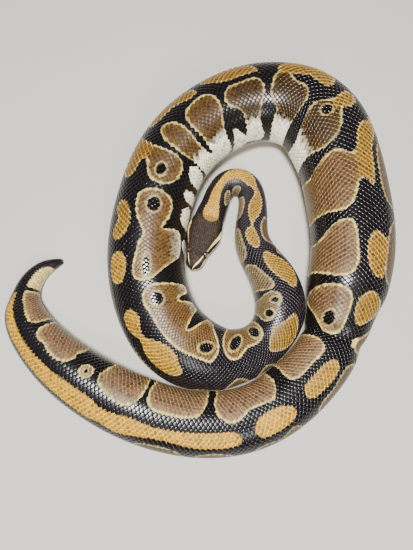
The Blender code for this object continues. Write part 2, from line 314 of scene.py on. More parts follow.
class Shape:
    """The body's surface as a table: stations down the body, evenly spaced places round it."""

    def __init__(self, stations, count):
        self.stations, self.count = np.asarray(stations, float), count
        rings, girths, levels = [], [], []
        for s in self.stations:
            ring, girth = evened(section(s), count)
            levels.append(ring[:, 1])
            back = LENGTH_MM - s
            if back < FEATURES_END_MM:
                fade = 1 - step(back, FEATURES_FULL_MM, FEATURES_END_MM)
                ring = ring + fade * (head_features(back, ring) - ring)
            rings.append(placed(s, ring))
            girths.append(girth)
        self.at, self.girth, self.level = np.array(rings), np.array(girths), np.array(levels)
        ahead = np.gradient(self.at, self.stations, axis=0)
        round_ = np.roll(self.at, -1, axis=1) - np.roll(self.at, 1, axis=1)
        normal = np.cross(round_, ahead)
        self.normal = -normal / (np.linalg.norm(normal, axis=2)[:, :, None] + 1e-12)
        self.stretch = np.linalg.norm(ahead, axis=2) * 1000
        if self.normal[3, 0, 2] < 0:        # outwards is up, at the top of a section
            self.normal = -self.normal

    def read(self, table, s, g):
        """A table's value at stations s and places g, as shares of the girth from the section's top."""
        i = np.clip(np.searchsorted(self.stations, s, side="right") - 1, 0, len(self.stations) - 2)
        t = np.clip((s - self.stations[i]) / (self.stations[i + 1] - self.stations[i]), 0, 1)
        place = np.mod(g, 1.0) * self.count
        j = np.floor(place).astype(int)
        f = place - j
        j, k = j % self.count, (j + 1) % self.count
        if table.ndim == 3:
            t, f = t[..., None], f[..., None]
        return ((1 - t) * ((1 - f) * table[i, j] + f * table[i, k])
                + t * ((1 - f) * table[i + 1, j] + f * table[i + 1, k]))

    def point(self, s, g, out_mm=0.0):
        """Places this far out from the surface, in metres, and the directions outwards there."""
        n = self.read(self.normal, s, g)
        n /= np.linalg.norm(n, axis=-1)[..., None] + 1e-12
        return self.read(self.at, s, g) + n * (np.asarray(out_mm) / 1000)[..., None], n

    def girth_at(self, s):
        """The girth at stations s, in mm."""
        return np.interp(s, self.stations, self.girth)


SURFACE_ROUND, FINE_FROM_MM = 240, 56
SHAPE = Shape(np.unique(np.concatenate([
    [0, 1, 2, 3.5], np.arange(5, LENGTH_MM - FINE_FROM_MM, 2.0),
    np.arange(LENGTH_MM - FINE_FROM_MM, LENGTH_MM - 0.01, 0.5), [LENGTH_MM - 0.01]])), SURFACE_ROUND)

# The line of the backbone, as a share of the girth from the section's top: the body lies rolled.
BACK_LINE = [
    (0, -0.03), (60, -0.04), (100, -0.06), (250, -0.065), (340, -0.055), (400, -0.065), (480, -0.035),
    (540, -0.045), (600, -0.06), (650, -0.07), (720, -0.09), (760, -0.10), (850, -0.09), (931, -0.085),
    (992, -0.065), (1043.5, -0.045), (1078.5, 0.0), (1143.5, 0.0), (1178.5, 0.01), (1231.5, 0.005),
]

# The markings. Each is an outline of "station share" pairs: the station in mm, and the share of the
# girth in hundredths, which is positive on the snake's left, the inside of the coil.
TAN, GOLD, WHITE, OLIVE, DUSK, STRIPE = 1, 2, 3, 4, 5, 6
MARKS = [(kind, [tuple(map(float, at.split())) for at in outline.split(",")]) for kind, outline in (
    (TAN, "10 40, 10 12, 16 5, 22 3, 30 4, 38 3, 39 10, 39 40"),
    (TAN, "42 40, 42 8, 44 3, 50 4, 60 6, 70 5, 77 5, 81 9, 83 15, 80 40"),
    (TAN, "86 40, 87 15, 86 9, 89 4, 95 3, 100 4, 108 2, 117 2, 124 4, 128 8, 127 13, 131 17, "
          "129 24, 124 40"),
    (TAN, "136 6.5, 137 4, 140 2.6, 144 2.6, 147 4, 148.5 7, 147 9.5, 144 10.6, 140 10, 137 8.5"),
    (TAN, "155 40, 158 22, 154 12, 152 8, 155 4, 165 1.8, 172 0.5, 180 0.5, 187 2, 190 6, 192 12, "
          "190 24, 190 40"),
    (TAN, "194 40, 196 20, 194 12, 196 6, 201 3, 212 3, 230 3, 239 5, 243 9, 245 14, 246 20, 247 40"),
    (TAN, "249 40, 254 20, 250 12, 251 7, 255 3, 262 0.5, 268 1, 273 3, 278 5, 290 5, 298 4, 304 6, "
          "309 12, 308 20, 308 40"),
    (TAN, "317 40, 320 20, 318 10, 321 6, 328 4.5, 340 5, 350 4, 358 4, 362 7, 364 12, 362 20, "
          "360 40"),
    (TAN, "371 10, 371 4, 374 1, 380 0, 392 -0.5, 402 -0.5, 408 3, 409.5 8, 407 16, 402 24, 398 29, "
          "392 24, 384 17, 376 13"),
    (TAN, "417 40, 418 24, 415 12, 415 6, 420 2, 430 1, 442 2, 455 3, 463 4, 465 7, 462 12, 454 15, "
          "448 18, 445 23, 448 27, 450 40"),
    (TAN, "470 40, 471 24, 473 14, 472 9, 474 5, 482 2.5, 490 1, 496 0, 497 -3, 520 -3, 520 1, "
          "525 4, 527 7, 523 11, 515 17, 510 20, 513 26, 514 40"),
    (GOLD, "497 0, 520 0, 524 -2, 532 -3, 540 -5, 545 -8, 544 -12, 550 -15, 545 -16, 538 -15, "
           "528 -10, 518 -8, 505 -7.5, 492 -6, 491 -5, 498 -3"),
    (TAN, "530 40, 530 24, 533 16, 531 12, 532 8, 538 3.5, 545 0.5, 556 -1.5, 558 -3, 568 -3, 570 0, "
          "575 3, 577 6, 573 10, 566 14, 560 17, 556 20, 556 25, 560 30, 565 40"),
    (GOLD, "559 0, 567 0, 569 -4, 571 -9, 568 -12.5, 562 -11.5, 558 -8, 557 -5, 559 -3"),
    (TAN, "584 40, 580 26, 585 18, 584 12, 584 6, 588 2, 595 0, 601 0, 606 -2, 609 -5, 614 -5, "
          "620 -3, 623 2, 625 6, 623 9, 616 12, 620 16, 621 24, 616 40"),
    (GOLD, "578 -5, 582 -3.5, 590 -4, 594 -5, 600 -4, 606 -3.5, 612 -3.5, 618 -4, 617 -8, 612 -12, "
           "610 -16, 592 -16, 582 -13, 579 -9"),
    (TAN, "629 3, 632 -1, 638 -2.5, 650 -1.5, 660 -2, 667 1, 669 4, 667 7, 660 9, 657 12, 657 17, "
          "659 22, 655 26, 645 27, 636 26, 630 24, 636 20, 639 16, 637 12, 633 8"),
    (GOLD, "632 -6, 636 -5, 648 -4.5, 658 -4.5, 664 -6, 672 -9, 676 -12, 672 -15, 655 -15, 640 -13, "
           "634 -9"),
    (TAN, "673 3, 674 -2, 680 -4.5, 692 -4.5, 702 -3, 706 0, 708 5, 707 10, 708 15, 706 20, 700 25, "
          "690 26, 680 24, 682 20, 684 16, 681 11, 676 7"),
    (GOLD, "681 -9, 684 -7, 690 -6.5, 696 -8, 702 -10, 710 -10, 720 -11, 724 -14, 720 -17, 705 -17, "
           "690 -15, 684 -13"),
    (TAN, "711 2, 713 -4, 719 -7, 725 -6.5, 731 -2, 733 4, 735 8, 733 14, 732 18, 726 24, 718 26, "
          "712 25, 709 20, 712 17, 715 13, 714 8"),
    (WHITE, "640 17, 640 20, 630 24, 638 29, 655 26, 668 29, 678 29, 675 21, 674 15, 668 17, 661 22, "
            "657 21, 657 17"),
    (WHITE, "686 17, 684 21, 679 26, 690 29, 705 28, 720 29, 727 26, 732 20, 733 17, 727 18, 716 18, "
            "709 19, 706 18"),
    (WHITE, "735 17, 738 13.5, 745 13, 752 15, 753 20, 751 26, 738 28, 734 23"),
    (WHITE, "762 15.5, 768 14, 772 17, 771 22, 768 28, 762 28, 760 22"),
    (WHITE, "775 20, 781 16.5, 790 16, 796 20, 797 27, 780 29, 776 25"),
    (WHITE, "806 23, 812 20, 820 21, 822 27, 808 27"),
    (TAN, "737 3, 739 8, 746 10.3, 756 10.3, 764 8, 768 4, 766 -1, 759 -4, 751 -5, 749 -8, 749 -10, "
          "737 -10, 737 -2"),
    (GOLD, "737 -5, 749 -5, 750 -8.5, 760 -9, 767 -12, 764 -16, 755 -18, 736 -18, 731 -15, 735 -11"),
    (TAN, "772 3, 774 8, 781 11, 792 11, 800 9, 806 8, 803 13, 803 17, 810 19, 820 19, 828 18, "
          "834 15, 840 10, 846 6, 850 2, 849 -2, 845 -4.5, 836 -4, 826 -2, 819 -1.5, 812 1, "
          "806 -0.5, 798 -3, 788 -4.5, 778 -4.5, 774 -1"),
    (GOLD, "784 -11, 788 -8, 796 -5.5, 806 -5.5, 813 -8, 816 -11, 813 -14, 806 -14, 802 -12, "
           "798 -11.5, 794 -14, 787 -14"),
    (GOLD, "823 -10, 827 -7, 835 -6.5, 843 -8, 847 -11, 844 -15, 836 -16, 827 -15"),
    (TAN, "853 2, 855 8, 858 14, 861 18, 868 18, 870 14, 871 11, 875 11, 878 15, 882 18, 892.5 18, "
          "895.5 14, 898.5 10, 902.5 4.5, 908.5 10, 912 15, 916 17.5, 925 17.5, 928 13, 933 8, "
          "935 3, 932 -2, 929 -4, 921 -3, 905.5 -3, 890.5 -2.5, 875 -2, 865 -3.5, 857 -2"),
    (GOLD, "864 -10, 868 -7.5, 874 -7, 880 -9, 884 -10, 889.5 -7, 896.5 -4.5, 904.5 -4.5, 911 -8, "
           "915 -11, 911 -15, 902.5 -15.5, 893.5 -15, 886.5 -12, 883 -12, 877 -15, 868 -15"),
    (TAN, "937 5, 939 12, 945 18, 945 40, 978.5 40, 979.5 24, 982 14, 978.5 6, 973.5 2, 963.5 1.5, "
          "959 2.5, 954 0, 949 -3, 943 -2.5, 939 1"),
    (GOLD, "970.5 -7, 975.5 -2, 982 1, 986 2, 992 -1, 999.5 -5, 1002.5 -8, 998.5 -12, 992 -16, "
           "987 -18, 982 -17, 976.5 -12"),
    (TAN, "986 10, 989 16, 993 22, 995.5 40, 1012 40, 1013 20, 1018.5 13, 1020.5 7, 1017.5 3, "
          "1011 0.5, 1006 3, 998.5 4, 990 5"),
    (GOLD, "1018.5 -9, 1021.5 -5, 1029.5 0, 1039.5 3, 1048.5 2.5, 1054.5 0, 1054.5 -4, 1049.5 -7, "
           "1043.5 -10, 1037.5 -14, 1031.5 -15, 1023.5 -13"),
    (TAN, "1021.5 6, 1025.5 3.5, 1031.5 5, 1039.5 7.5, 1048.5 10, 1053.5 15, 1052.5 22, 1050.5 40, "
          "1027.5 40, 1025.5 20, 1022.5 12"),
    (OLIVE, "1057.5 14, 1061.5 11, 1067.5 10.5, 1075.5 12, 1080.5 15, 1081.5 22, 1079.5 40, "
            "1058.5 40, 1056.5 22"),
    (GOLD, "1059.5 1, 1063.5 5, 1069.5 7.5, 1075.5 8, 1079.5 5, 1080.5 2, 1083.5 2, 1088.5 4, "
           "1095.5 6.5, 1101.5 6, 1107.5 3, 1111.5 -1, 1115.5 -2, 1119.5 0, 1121.5 3, 1124.5 4, "
           "1133.5 3.5, 1143.5 3, 1153.5 3.5, 1163.5 5, 1173.5 8, 1181.5 12.5, 1185.5 13, 1188.5 8, "
           "1189.5 3, 1188.5 -2, 1185.5 -6, 1180.5 -8, 1173.5 -6, 1163.5 -7, 1153.5 -6, 1148.5 -6, "
           "1144.5 -9, 1138.5 -13, 1131.5 -15, 1127.5 -13, 1123.5 -9, 1120.5 -7, 1116.5 -6.5, "
           "1111.5 -9, 1105.5 -10, 1098.5 -9, 1091.5 -6, 1086.5 -2, 1083.5 0, 1080.5 0, 1077.5 -2, "
           "1070.5 -4, 1063.5 -3"),
    (OLIVE, "1087.5 18, 1090.5 13, 1097.5 11, 1105.5 10.5, 1111.5 12, 1113.5 18, 1111.5 40, "
            "1089.5 40"),
    (OLIVE, "1120.5 22, 1123.5 13, 1127.5 11, 1136.5 12, 1146.5 14, 1153.5 18, 1154.5 26, 1151.5 40, "
            "1122.5 40"),
    (OLIVE, "1153.5 14, 1155.5 10, 1161.5 9.5, 1166.5 12, 1170.5 15, 1168.5 19, 1164.5 22, "
            "1159.5 22, 1155.5 19"),
    # the back's pale stripe down the tail, and the spots before it
    (GOLD, "44 -6, 52 -5, 62 -4, 80 -4.5, 90 -5.5, 105 -4.5, 125 -4, 145 -3.5, 158 -4, 168 -6, "
           "176 -5, 190 -3.5, 205 -4.5, 225 -3.5, 245 -3, 260 -3, 266 -4.5, 268 -8, 264 -11.5, "
           "250 -11.5, 232 -11, 218 -9.5, 206 -10, 195 -12, 186 -14, 180 -15, 172 -14, 168 -13, "
           "163 -15, 150 -15, 130 -14, 110 -14, 90 -13.5, 70 -13, 56 -12, 46 -10"),
    (GOLD, "277 -5, 279 -2, 284 0, 292 1, 301 0, 308 -3, 309 -7, 304 -10, 292 -11, 281 -11, 278 -8"),
    (GOLD, "320 -4, 323 0, 330 0.5, 340 0.5, 348 0, 354 -2, 355 -6, 349 -9, 338 -9, 328 -8.5, "
           "321 -7"),
    (GOLD, "383 -7, 386 -4, 394 -2.5, 402 -2.5, 409 -5, 411 -8, 408 -13, 404 -17, 400 -20, 396 -17, "
           "389 -12"),
    (GOLD, "421 -7, 424 -4, 432 -2, 442 -1, 450 -2, 456 -4.5, 452 -8, 450 -10.5, 436 -11, 422 -11"),
    # the other flank, towards the outside of the coil
    (DUSK, "18 -14, 26 -13, 36 -14, 38 -22, 36 -40, 18 -40"),
    (DUSK, "56 -22, 64 -18, 76 -18, 86 -21, 88 -30, 86 -40, 57 -40"),
    (DUSK, "100 -24, 108 -19, 122 -19, 134 -22, 136 -30, 132 -40, 102 -40"),
    (DUSK, "148 -24, 156 -20, 170 -20, 182 -23, 184 -30, 180 -40, 150 -40"),
    (DUSK, "195 -18, 200 -15.5, 210 -14, 220 -14, 228 -17, 231 -22, 229 -40, 196 -40"),
    (DUSK, "236 -19, 240 -16, 250 -15, 258 -17, 262 -21, 260 -40, 237 -40"),
    (DUSK, "274 -19, 278 -16.5, 283 -16, 290 -18, 293 -18, 298 -14, 303 -13.5, 307 -17, 309 -22, "
           "306 -40, 276 -40"),
    (DUSK, "320 -18, 324 -14, 332 -13, 340 -13, 346 -11.5, 355 -11, 360 -14, 362 -20, 360 -40, "
           "322 -40"),
    (DUSK, "366 -14, 370 -11, 375 -11, 380 -14, 386 -19, 388 -24, 386 -40, 370 -40"),
    (STRIPE, "368 -9.5, 371 -8, 375 -8.5, 377 -10.5, 375 -12, 370 -12"),
    (DUSK, "418 -18, 422 -12, 432 -10, 445 -10, 456 -10.5, 464 -13, 467 -18, 462 -26, 458 -40, "
           "424 -40"),
    (DUSK, "474 -16, 478 -11, 488 -9.5, 500 -9.5, 515 -10, 528 -13, 533 -18, 528 -26, 525 -40, "
           "480 -40"),
    (DUSK, "548 -28, 554 -21, 564 -18, 576 -19, 582 -25, 578 -40, 550 -40"),
    (DUSK, "594 -27, 602 -21, 616 -20, 628 -22, 632 -29, 626 -40, 598 -40"),
    (DUSK, "642 -28, 650 -21, 662 -20, 672 -24, 673 -32, 668 -40, 645 -40"),
    (DUSK, "686 -28, 696 -22, 712 -22, 722 -26, 722 -33, 716 -40, 690 -40"),
    (DUSK, "736 -28, 744 -23, 758 -22, 770 -25, 771 -33, 764 -40, 740 -40"),
    (DUSK, "782 -27, 792 -21, 806 -20, 818 -23, 819 -31, 812 -40, 786 -40"),
    (DUSK, "830 -27, 838 -21, 850 -21, 860 -25, 860 -33, 854 -40, 834 -40"),
    (DUSK, "872 -26, 882 -20, 896.5 -20, 906.5 -24, 906.5 -32, 900.5 -40, 876 -40"),
    (DUSK, "917 -27, 923 -21, 931 -21, 937 -26, 935 -40, 919 -40"),
    (DUSK, "938 -22, 942 -16, 946 -13.5, 950 -16, 954 -22, 953 -40, 939 -40"),
    (DUSK, "957 -22, 961.5 -16, 965.5 -14.5, 969.5 -18, 971.5 -24, 969.5 -40, 958 -40"),
    (DUSK, "979.5 -28, 988 -23, 1000.5 -22, 1011 -26, 1009 -40, 983 -40"),
    (DUSK, "1015 -25, 1023.5 -20, 1033.5 -20, 1037.5 -26, 1034.5 -40, 1018.5 -40"),
    (DUSK, "1042.5 -20, 1046.5 -13, 1051.5 -12, 1054.5 -17, 1053.5 -40, 1044.5 -40"),
    (DUSK, "1057.5 -18, 1061.5 -10, 1069.5 -7, 1081.5 -7, 1089.5 -10, 1093.5 -15, 1089.5 -24, "
           "1085.5 -40, 1061.5 -40"),
    (DUSK, "1097.5 -25, 1103.5 -18, 1113.5 -17, 1119.5 -22, 1117.5 -40, 1100.5 -40"),
    (DUSK, "1145.5 -25, 1149.5 -17, 1155.5 -15, 1161.5 -19, 1163.5 -27, 1159.5 -40, 1147.5 -40"),
    # the head's pale stripes, over the eye to the snout
    (STRIPE, "1186.5 40, 1188.5 27, 1192.5 22, 1199.5 18.5, 1207.5 16, 1213.5 15, 1217.5 12.5, "
             "1221.5 10, 1225.5 6, 1229.5 1, 1232.5 -4, 1232.5 3, 1230.5 7, 1226.5 11.5, 1222.5 14, "
             "1218.5 15.5, 1215.5 17.2, 1211.5 18.6, 1206.5 20.4, 1201.5 23.5, 1196.5 30, 1194.5 40"),
    (STRIPE, "1190.5 -17, 1193.5 -16, 1199.5 -16, 1206.5 -14.3, 1212.5 -13.6, 1213.5 -14.8, "
             "1208.5 -16.2, 1201.5 -18.5, 1197.5 -24, 1196.5 -40, 1187.5 -40, 1189.5 -22"),
    (STRIPE, "1214.5 -14.5, 1218.5 -12.5, 1222.5 -10.5, 1226.5 -8, 1229.5 -5, 1230.5 -8, 1226.5 -12, "
             "1221.5 -14, 1217.5 -16.5"),
)]
# Dark spots inside the markings: station, share of the girth in hundredths, length, breadth, lean in
# degrees.
SPOTS = [
    (383, 8.3, 12, 9, 0), (563, 3, 9, 9.5, 0), (755, 1.7, 10.5, 8, 0), (786, 3, 12.5, 10.5, 0),
    (838, 1.5, 16, 5.5, -10), (866, 2.5, 10.5, 9.5, 0), (924, 2.5, 11, 7.5, 20), (950, 7, 15, 8, 40),
    (971.5, 10, 9, 11, 0), (996.5, 8.5, 8, 7, 0), (1011, 6, 5, 6, 0), (142, 6.5, 3, 3, 0),
]


def skin_level(s):
    """How far out the skin lies at a station, in mm: below zero, because it is inside the solids."""
    return -np.interp(s, [0, TAIL_THIN_MM], [TAIL_UNDER_MM, SKIN_UNDER_MM])


def rounded(outline):
    """An outline in (station mm, arc mm), with its corners cut twice."""
    o = np.array(outline, float)
    o[:, 1] = o[:, 1] / 100 * SHAPE.girth_at(o[:, 0])
    for _ in range(2):
        after = np.roll(o, -1, axis=0)
        o = np.stack([0.75 * o + 0.25 * after, 0.25 * o + 0.75 * after], axis=1).reshape(-1, 2)
    return o


def depth_inside(outline, x, y):
    """How far inside a closed outline each point lies, in mm; negative outside."""
    best, crossings = np.full(x.shape, 1e9), np.zeros(x.shape, int)
    for (ax, ay), (bx, by) in zip(outline, np.roll(outline, -1, axis=0)):
        ux, uy = bx - ax, by - ay
        t = np.clip(((x - ax) * ux + (y - ay) * uy) / (ux * ux + uy * uy + 1e-12), 0, 1)
        best = np.minimum(best, (x - ax - t * ux) ** 2 + (y - ay - t * uy) ** 2)
        cross = (ay > y) != (by > y)
        if cross.any():
            crossings += cross & (x < ax + (y - ay) / (by - ay + 1e-12) * ux)
    return np.sqrt(best) * np.where(crossings % 2 == 1, 1, -1)


def signed(g):
    """A share of the girth as a number from -0.5 to 0.5."""
    return np.mod(g + 0.5, 1.0) - 0.5


def from_back(s, g):
    """The share of the girth between the line of the backbone and a place, positive on the left."""
    return signed(g - steady(BACK_LINE, s))


OUTLINES = [(kind, rounded(o)) for kind, o in MARKS]
FAR_OUTSIDE_MM, EDGE_REACH_MM = -99.0, 5


def spot_depth(x, y):
    """How far inside a dark spot each point lies, in mm; negative outside."""
    spot = np.full(x.shape, FAR_OUTSIDE_MM)
    for at, share, long, wide, lean in SPOTS:
        dx, dy = x - at, y - share / 100 * SHAPE.girth_at(np.array(at))
        c, n = math.cos(math.radians(lean)), math.sin(math.radians(lean))
        r = np.hypot((dx * c + dy * n) / (long / 2), (-dx * n + dy * c) / (wide / 2))
        spot = np.maximum(spot, (1 - r) * min(long, wide) / 2)
    return spot


def markings(s, g):
    """What colour belongs where: the kind of marking, the depth inside it, and the depth in a spot."""
    x = np.asarray(s, float)
    y = signed(np.asarray(g, float)) * SHAPE.girth_at(x)
    kind, depth = np.zeros(x.shape, int), np.full(x.shape, FAR_OUTSIDE_MM)
    for which, o in OUTLINES:
        (x_low, y_low), (x_high, y_high) = o.min(axis=0) - EDGE_REACH_MM, o.max(axis=0) + EDGE_REACH_MM
        near = (x > x_low) & (x < x_high) & (y > y_low) & (y < y_high)
        if near.any():
            d = depth_inside(o, x[near], y[near])
            held = kind[near]
            held[d > 0] = which
            kind[near] = held
            depth[near] = np.maximum(depth[near], d)
    return kind, depth, spot_depth(x, y)


# The colours of the scales' middles and rims, and how their shares change along the body. The dark
# scales' paler rims are partly a painted sheen on their edges.
GROUND, GROUND_RIM_SHEEN, GROUND_LOW = linear("#070506"), linear("#211a1c"), linear("#1c130d")
# the neck's dark scales get violet-grey rims: a painted iridescent sheen
NECK_RIM_SHEEN = linear("#342a32")
CREAM, CREAM_RIM = linear("#ccb05e"), linear("#f3e09c")
# the tan as deep, outer and rim tones: over most of the body, on the tail, and over the far bend
TAN_TONES = [[linear(c) for c in one] for one in (
    ("#4a311a", "#59401b", "#7c5d2c"), ("#5a4230", "#6d5334", "#98774d"),
    ("#281a0b", "#33220e", "#4b3719"))]
TAIL_TAN_SHARE = [(0, 1), (330, 1), (380, 0.6), (470, 0.4), (520, 0), (1232, 0)]
FAR_TAN_SHARE = [
    (0, 0), (505, 0), (545, 0.8), (600, 1), (650, 0.9), (680, 0.55), (745, 0.35), (790, 0), (1232, 0)]
GOLD_IN, GOLD_OUT, GOLD_RIM = linear("#5e3f0c"), linear("#775413"), linear("#a98331")
STRAW_IN, STRAW_RIM = linear("#a87511"), linear("#edc440")
STRAW_SHARE = [
    (0, 1), (285, 1), (310, 0.65), (340, 0.35), (420, 0.1), (780, 0), (850, 0.5), (920, 0.45), (965, 0),
    (1005, 0), (1020, 0.2), (1110, 0.15), (1150, 0.8), (1232, 0.8)]
IVORY, IVORY_RIM = linear("#fff2d2"), linear("#fffae6")
OLIVE_IN, OLIVE_RIM = linear("#4a3d28"), linear("#93835d")
DUSK_IN, DUSK_RIM = linear("#463722"), linear("#a39168")


def blend(a, b, t):
    """Colours a turned to colours b by the shares t."""
    return a + (b - a) * np.asarray(t)[..., None]


def marking_tones(s, depth):
    """For each kind of marking, its middle and rim colours at stations s and depths inside it in mm."""
    far, tail = steady(FAR_TAN_SHARE, s), steady(TAIL_TAN_SHARE, s)
    tan_in, tan_out, tan_rim = (blend(blend(a, b, tail), c, far) for a, b, c in zip(*TAN_TONES))
    tan = blend(tan_out, tan_in, step(depth, 3.0, 8))
    cream, cream_rim = (c * (1 - 0.3 * far)[:, None] for c in (CREAM, CREAM_RIM))
    ivory, ivory_rim, plain_cream, plain_cream_rim, olive_rim = (
        np.broadcast_to(c, (len(depth), 3)) for c in (IVORY, IVORY_RIM, CREAM, CREAM_RIM, OLIVE_RIM))
    sets = {
        TAN: (blend(cream, tan, step(depth, 0.7, 1.9)),
              blend(cream_rim, tan_rim, step(depth, 0.7, 2.3))),
        GOLD: (blend(GOLD_OUT, GOLD_IN, step(depth, 0.6, 3.0)),
               blend(CREAM_RIM, GOLD_RIM, step(depth, 0.5, 2))),
        WHITE: (ivory, ivory_rim),
        OLIVE: (blend(OLIVE_RIM, OLIVE_IN, step(depth, 0.6, 2.4)), olive_rim),
        DUSK: (blend(DUSK_RIM, DUSK_IN, step(depth, 0.7, 1.9)),
               blend(DUSK_RIM, DUSK_IN * 1.6, step(depth, 0.7, 2.4))),
        STRIPE: (plain_cream, plain_cream_rim),
    }
    to_olive, to_cream = 0.8 * step(s, 960, 990), 0.85 * (1 - step(s, 36, 42))    # neck, tail tip
    sets[TAN] = [blend(m, o, to_olive) for m, o in zip(sets[TAN], sets[OLIVE])]
    sets[TAN] = [blend(m, c, to_cream) for m, c in zip(sets[TAN], (CREAM, CREAM_RIM))]
    straw = steady(STRAW_SHARE, s)
    sets[GOLD] = [blend(m, c, straw) for m, c in zip(sets[GOLD], (STRAW_IN, STRAW_RIM))]
    return sets


def ivory_share(s, g, u, kind, luck):
    """How far a marking pales to ivory, low on the flanks and on the inside of the far bend."""
    jitter = 0.02 * (luck - 0.5)
    pale = (step(u, 0.22, 0.32) * np.isin(kind, (TAN, DUSK))
            * step(s, 520, 560) * (1 - step(s, 850, 930)))
    pale = np.maximum(pale, 0.75 * step(u, 0.29, 0.36) * (kind > 0))
    inner = (np.mod(g, 1.0) < 0.5) & (kind == TAN)
    pale = np.maximum(pale, inner * step(u + jitter, 0.205, 0.255) * step(s, 560, 600)
                      * (1 - 0.75 * step(s, 760, 785)) * (1 - step(s, 900, 940)))
    white_top = (kind == TAN) & (s > 525) & (s < 740)
    return np.maximum(pale, np.where(white_top, step(g + jitter, 0.14, 0.19), 0))


def paint(s, g, tones):
    """The middle and the rim colour of scales at (s, g), linear. Tones are each scale's own small
    differences: two factors near 1, and a number from 0 to 1 that picks the flecked scales."""
    kind, depth, spot = markings(s, g)
    u = np.abs(from_back(s, g))
    low_down = step(u, 0.2, 0.33)
    middle = blend(GROUND, GROUND_LOW, low_down)
    rim = blend(GROUND_RIM_SHEEN, GROUND_LOW * 1.3, low_down)
    inside = step(depth, -0.15, 0.25)[:, None]
    for which, (m, r) in marking_tones(s, depth).items():
        here = (kind == which)[:, None]
        middle = np.where(here, middle + (m - middle) * inside, middle)
        rim = np.where(here, rim + (r - rim) * inside, rim)
    pale = ivory_share(s, g, u, kind, tones[:, 2])
    middle, rim = blend(middle, IVORY, pale), blend(rim, IVORY_RIM, pale)
    dark = step(spot, -0.5, 0.5)
    middle, rim = blend(middle, GROUND, dark), blend(rim, GROUND_RIM_SHEEN, dark)
    ring = bell(spot, -0.8, 0.55) * (kind == TAN) * 0.6
    middle, rim = blend(middle, CREAM, ring), blend(rim, CREAM_RIM, ring)
    # painted violet-grey sheen on the rims of the neck's dark scales
    rim = blend(rim, NECK_RIM_SHEEN, 0.9 * step(s, 870, 980) * (kind == 0))
    fleck = np.where((kind > 0) & (pale < 0.5) & (tones[:, 2] < 0.3), 0.68, 1.0)
    return (np.clip(middle * (tones[:, 0] * fleck)[:, None], 0, 1),
            np.clip(rim * tones[:, 1][:, None], 0, 1))


def give_colours(mesh, **layers):
    """Writes arrays on a mesh's vertices: three columns as a colour, one as a number."""
    for name, values in layers.items():
        values = np.asarray(values, np.float32)
        if values.ndim == 2:
            layer = mesh.attributes.new(name, "FLOAT_COLOR", "POINT")
            whole = np.column_stack([values, np.ones(len(values))])
            layer.data.foreach_set("color", whole.astype(np.float32).ravel())
        else:
            layer = mesh.attributes.new(name, "FLOAT", "POINT")
            layer.data.foreach_set("value", values)


def tube_mesh(name, grid, tip_start, tip_end):
    """A tube through rows of vertices, closed by a point beyond either end."""
    rows, around = grid.shape[:2]
    i, j = np.meshgrid(np.arange(rows - 1), np.arange(around), indexing="ij")
    k = (j + 1) % around
    corners = [i * around + j, i * around + k, (i + 1) * around + k, (i + 1) * around + j]
    faces = [tuple(f) for f in np.stack(corners, axis=-1).reshape(-1, 4).tolist()]
    start, last_row = rows * around, (rows - 1) * around
    faces += [(start, (a + 1) % around, a) for a in range(around)]
    faces += [(last_row + a, last_row + (a + 1) % around, start + 1) for a in range(around)]
    mesh = bpy.data.meshes.new(name)
    mesh.from_pydata(np.vstack([grid.reshape(-1, 3), tip_start, tip_end]).tolist(), [], faces)
    mesh.shade_smooth()
    return mesh


def face_out(mesh):
    """Turns a closed mesh's faces outwards."""
    bm = bmesh.new()
    bm.from_mesh(mesh)
    bmesh.ops.recalc_face_normals(bm, faces=bm.faces)
    bm.to_mesh(mesh)
    bm.free()


def piece(name, mesh, material):
    """An object in the scene for a mesh, with its material."""
    made = bpy.data.objects.new(name, mesh)
    bpy.context.scene.collection.objects.link(made)
    if material.name not in mesh.materials:
        mesh.materials.append(material)
    return made


PER_MM = 1000.0    # a noise of this scale has one blot in each millimetre

# Skin: soft, matt and paler than the scales it carries; it shows as a fine net where the body bends.
skin_finish, tree, shader = plain_material("python_skin")
tint = node(tree, "ShaderNodeAttribute", {"attribute_name": "tint"})
where = node(tree, "ShaderNodeTexCoord")
creases = node(tree, "ShaderNodeTexNoise", Vector=where.outputs["Object"], Scale=1.5 * PER_MM,
               Detail=2.0)
bump = node(tree, "ShaderNodeBump", Strength=0.3, Distance=0.0002, Height=creases.outputs["Fac"])
wire(tree, shader, Base_Color=tint.outputs["Color"], Normal=bump.outputs["Normal"], Roughness=0.6)

SKIN_ROUND, TAIL_FINE_MM, HEAD_FINE_MM = 96, 6, 50
SKIN_NET, SKIN_BELLY = linear("#6b5746"), linear("#d9cfb8")
skin_stations = np.concatenate([
    [0.4, 1.0, 2.0, 4.0], np.arange(TAIL_FINE_MM, LENGTH_MM - HEAD_FINE_MM, 2.0),
    np.arange(LENGTH_MM - HEAD_FINE_MM, LENGTH_MM - 1.4, 0.9), [LENGTH_MM - 1.2]])
ss, gg = np.meshgrid(skin_stations, np.arange(SKIN_ROUND) / SKIN_ROUND, indexing="ij")
under = -np.interp(ss, [0, TAIL_THIN_MM, LENGTH_MM - 52, LENGTH_MM - 44],
                   [TAIL_UNDER_MM, SKIN_UNDER_MM, SKIN_UNDER_MM, 1.2])
skin_grid, _ = SHAPE.point(ss, gg, under)
skin_mesh = tube_mesh("skin", skin_grid, skin_grid[0].mean(axis=0), skin_grid[-1].mean(axis=0))
face_out(skin_mesh)
ss, gg = ss.ravel(), gg.ravel()
# the skin's colour starts from the scales' rim colours, painted sheen included
_, skin_rim = paint(ss, gg, np.ones((ss.size, 3)))
skin_tint = blend(skin_rim, SKIN_NET, np.full(len(skin_rim), 0.35))
skin_tint = blend(skin_tint, SKIN_BELLY, step(np.abs(from_back(ss, gg)), 0.34, 0.37))
give_colours(skin_mesh, tint=np.vstack([skin_tint, skin_tint[:1], skin_tint[-1:]]))
skin = piece("skin", skin_mesh, skin_finish)
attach(skin, "root")
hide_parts(*[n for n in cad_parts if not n.startswith("eye_")])

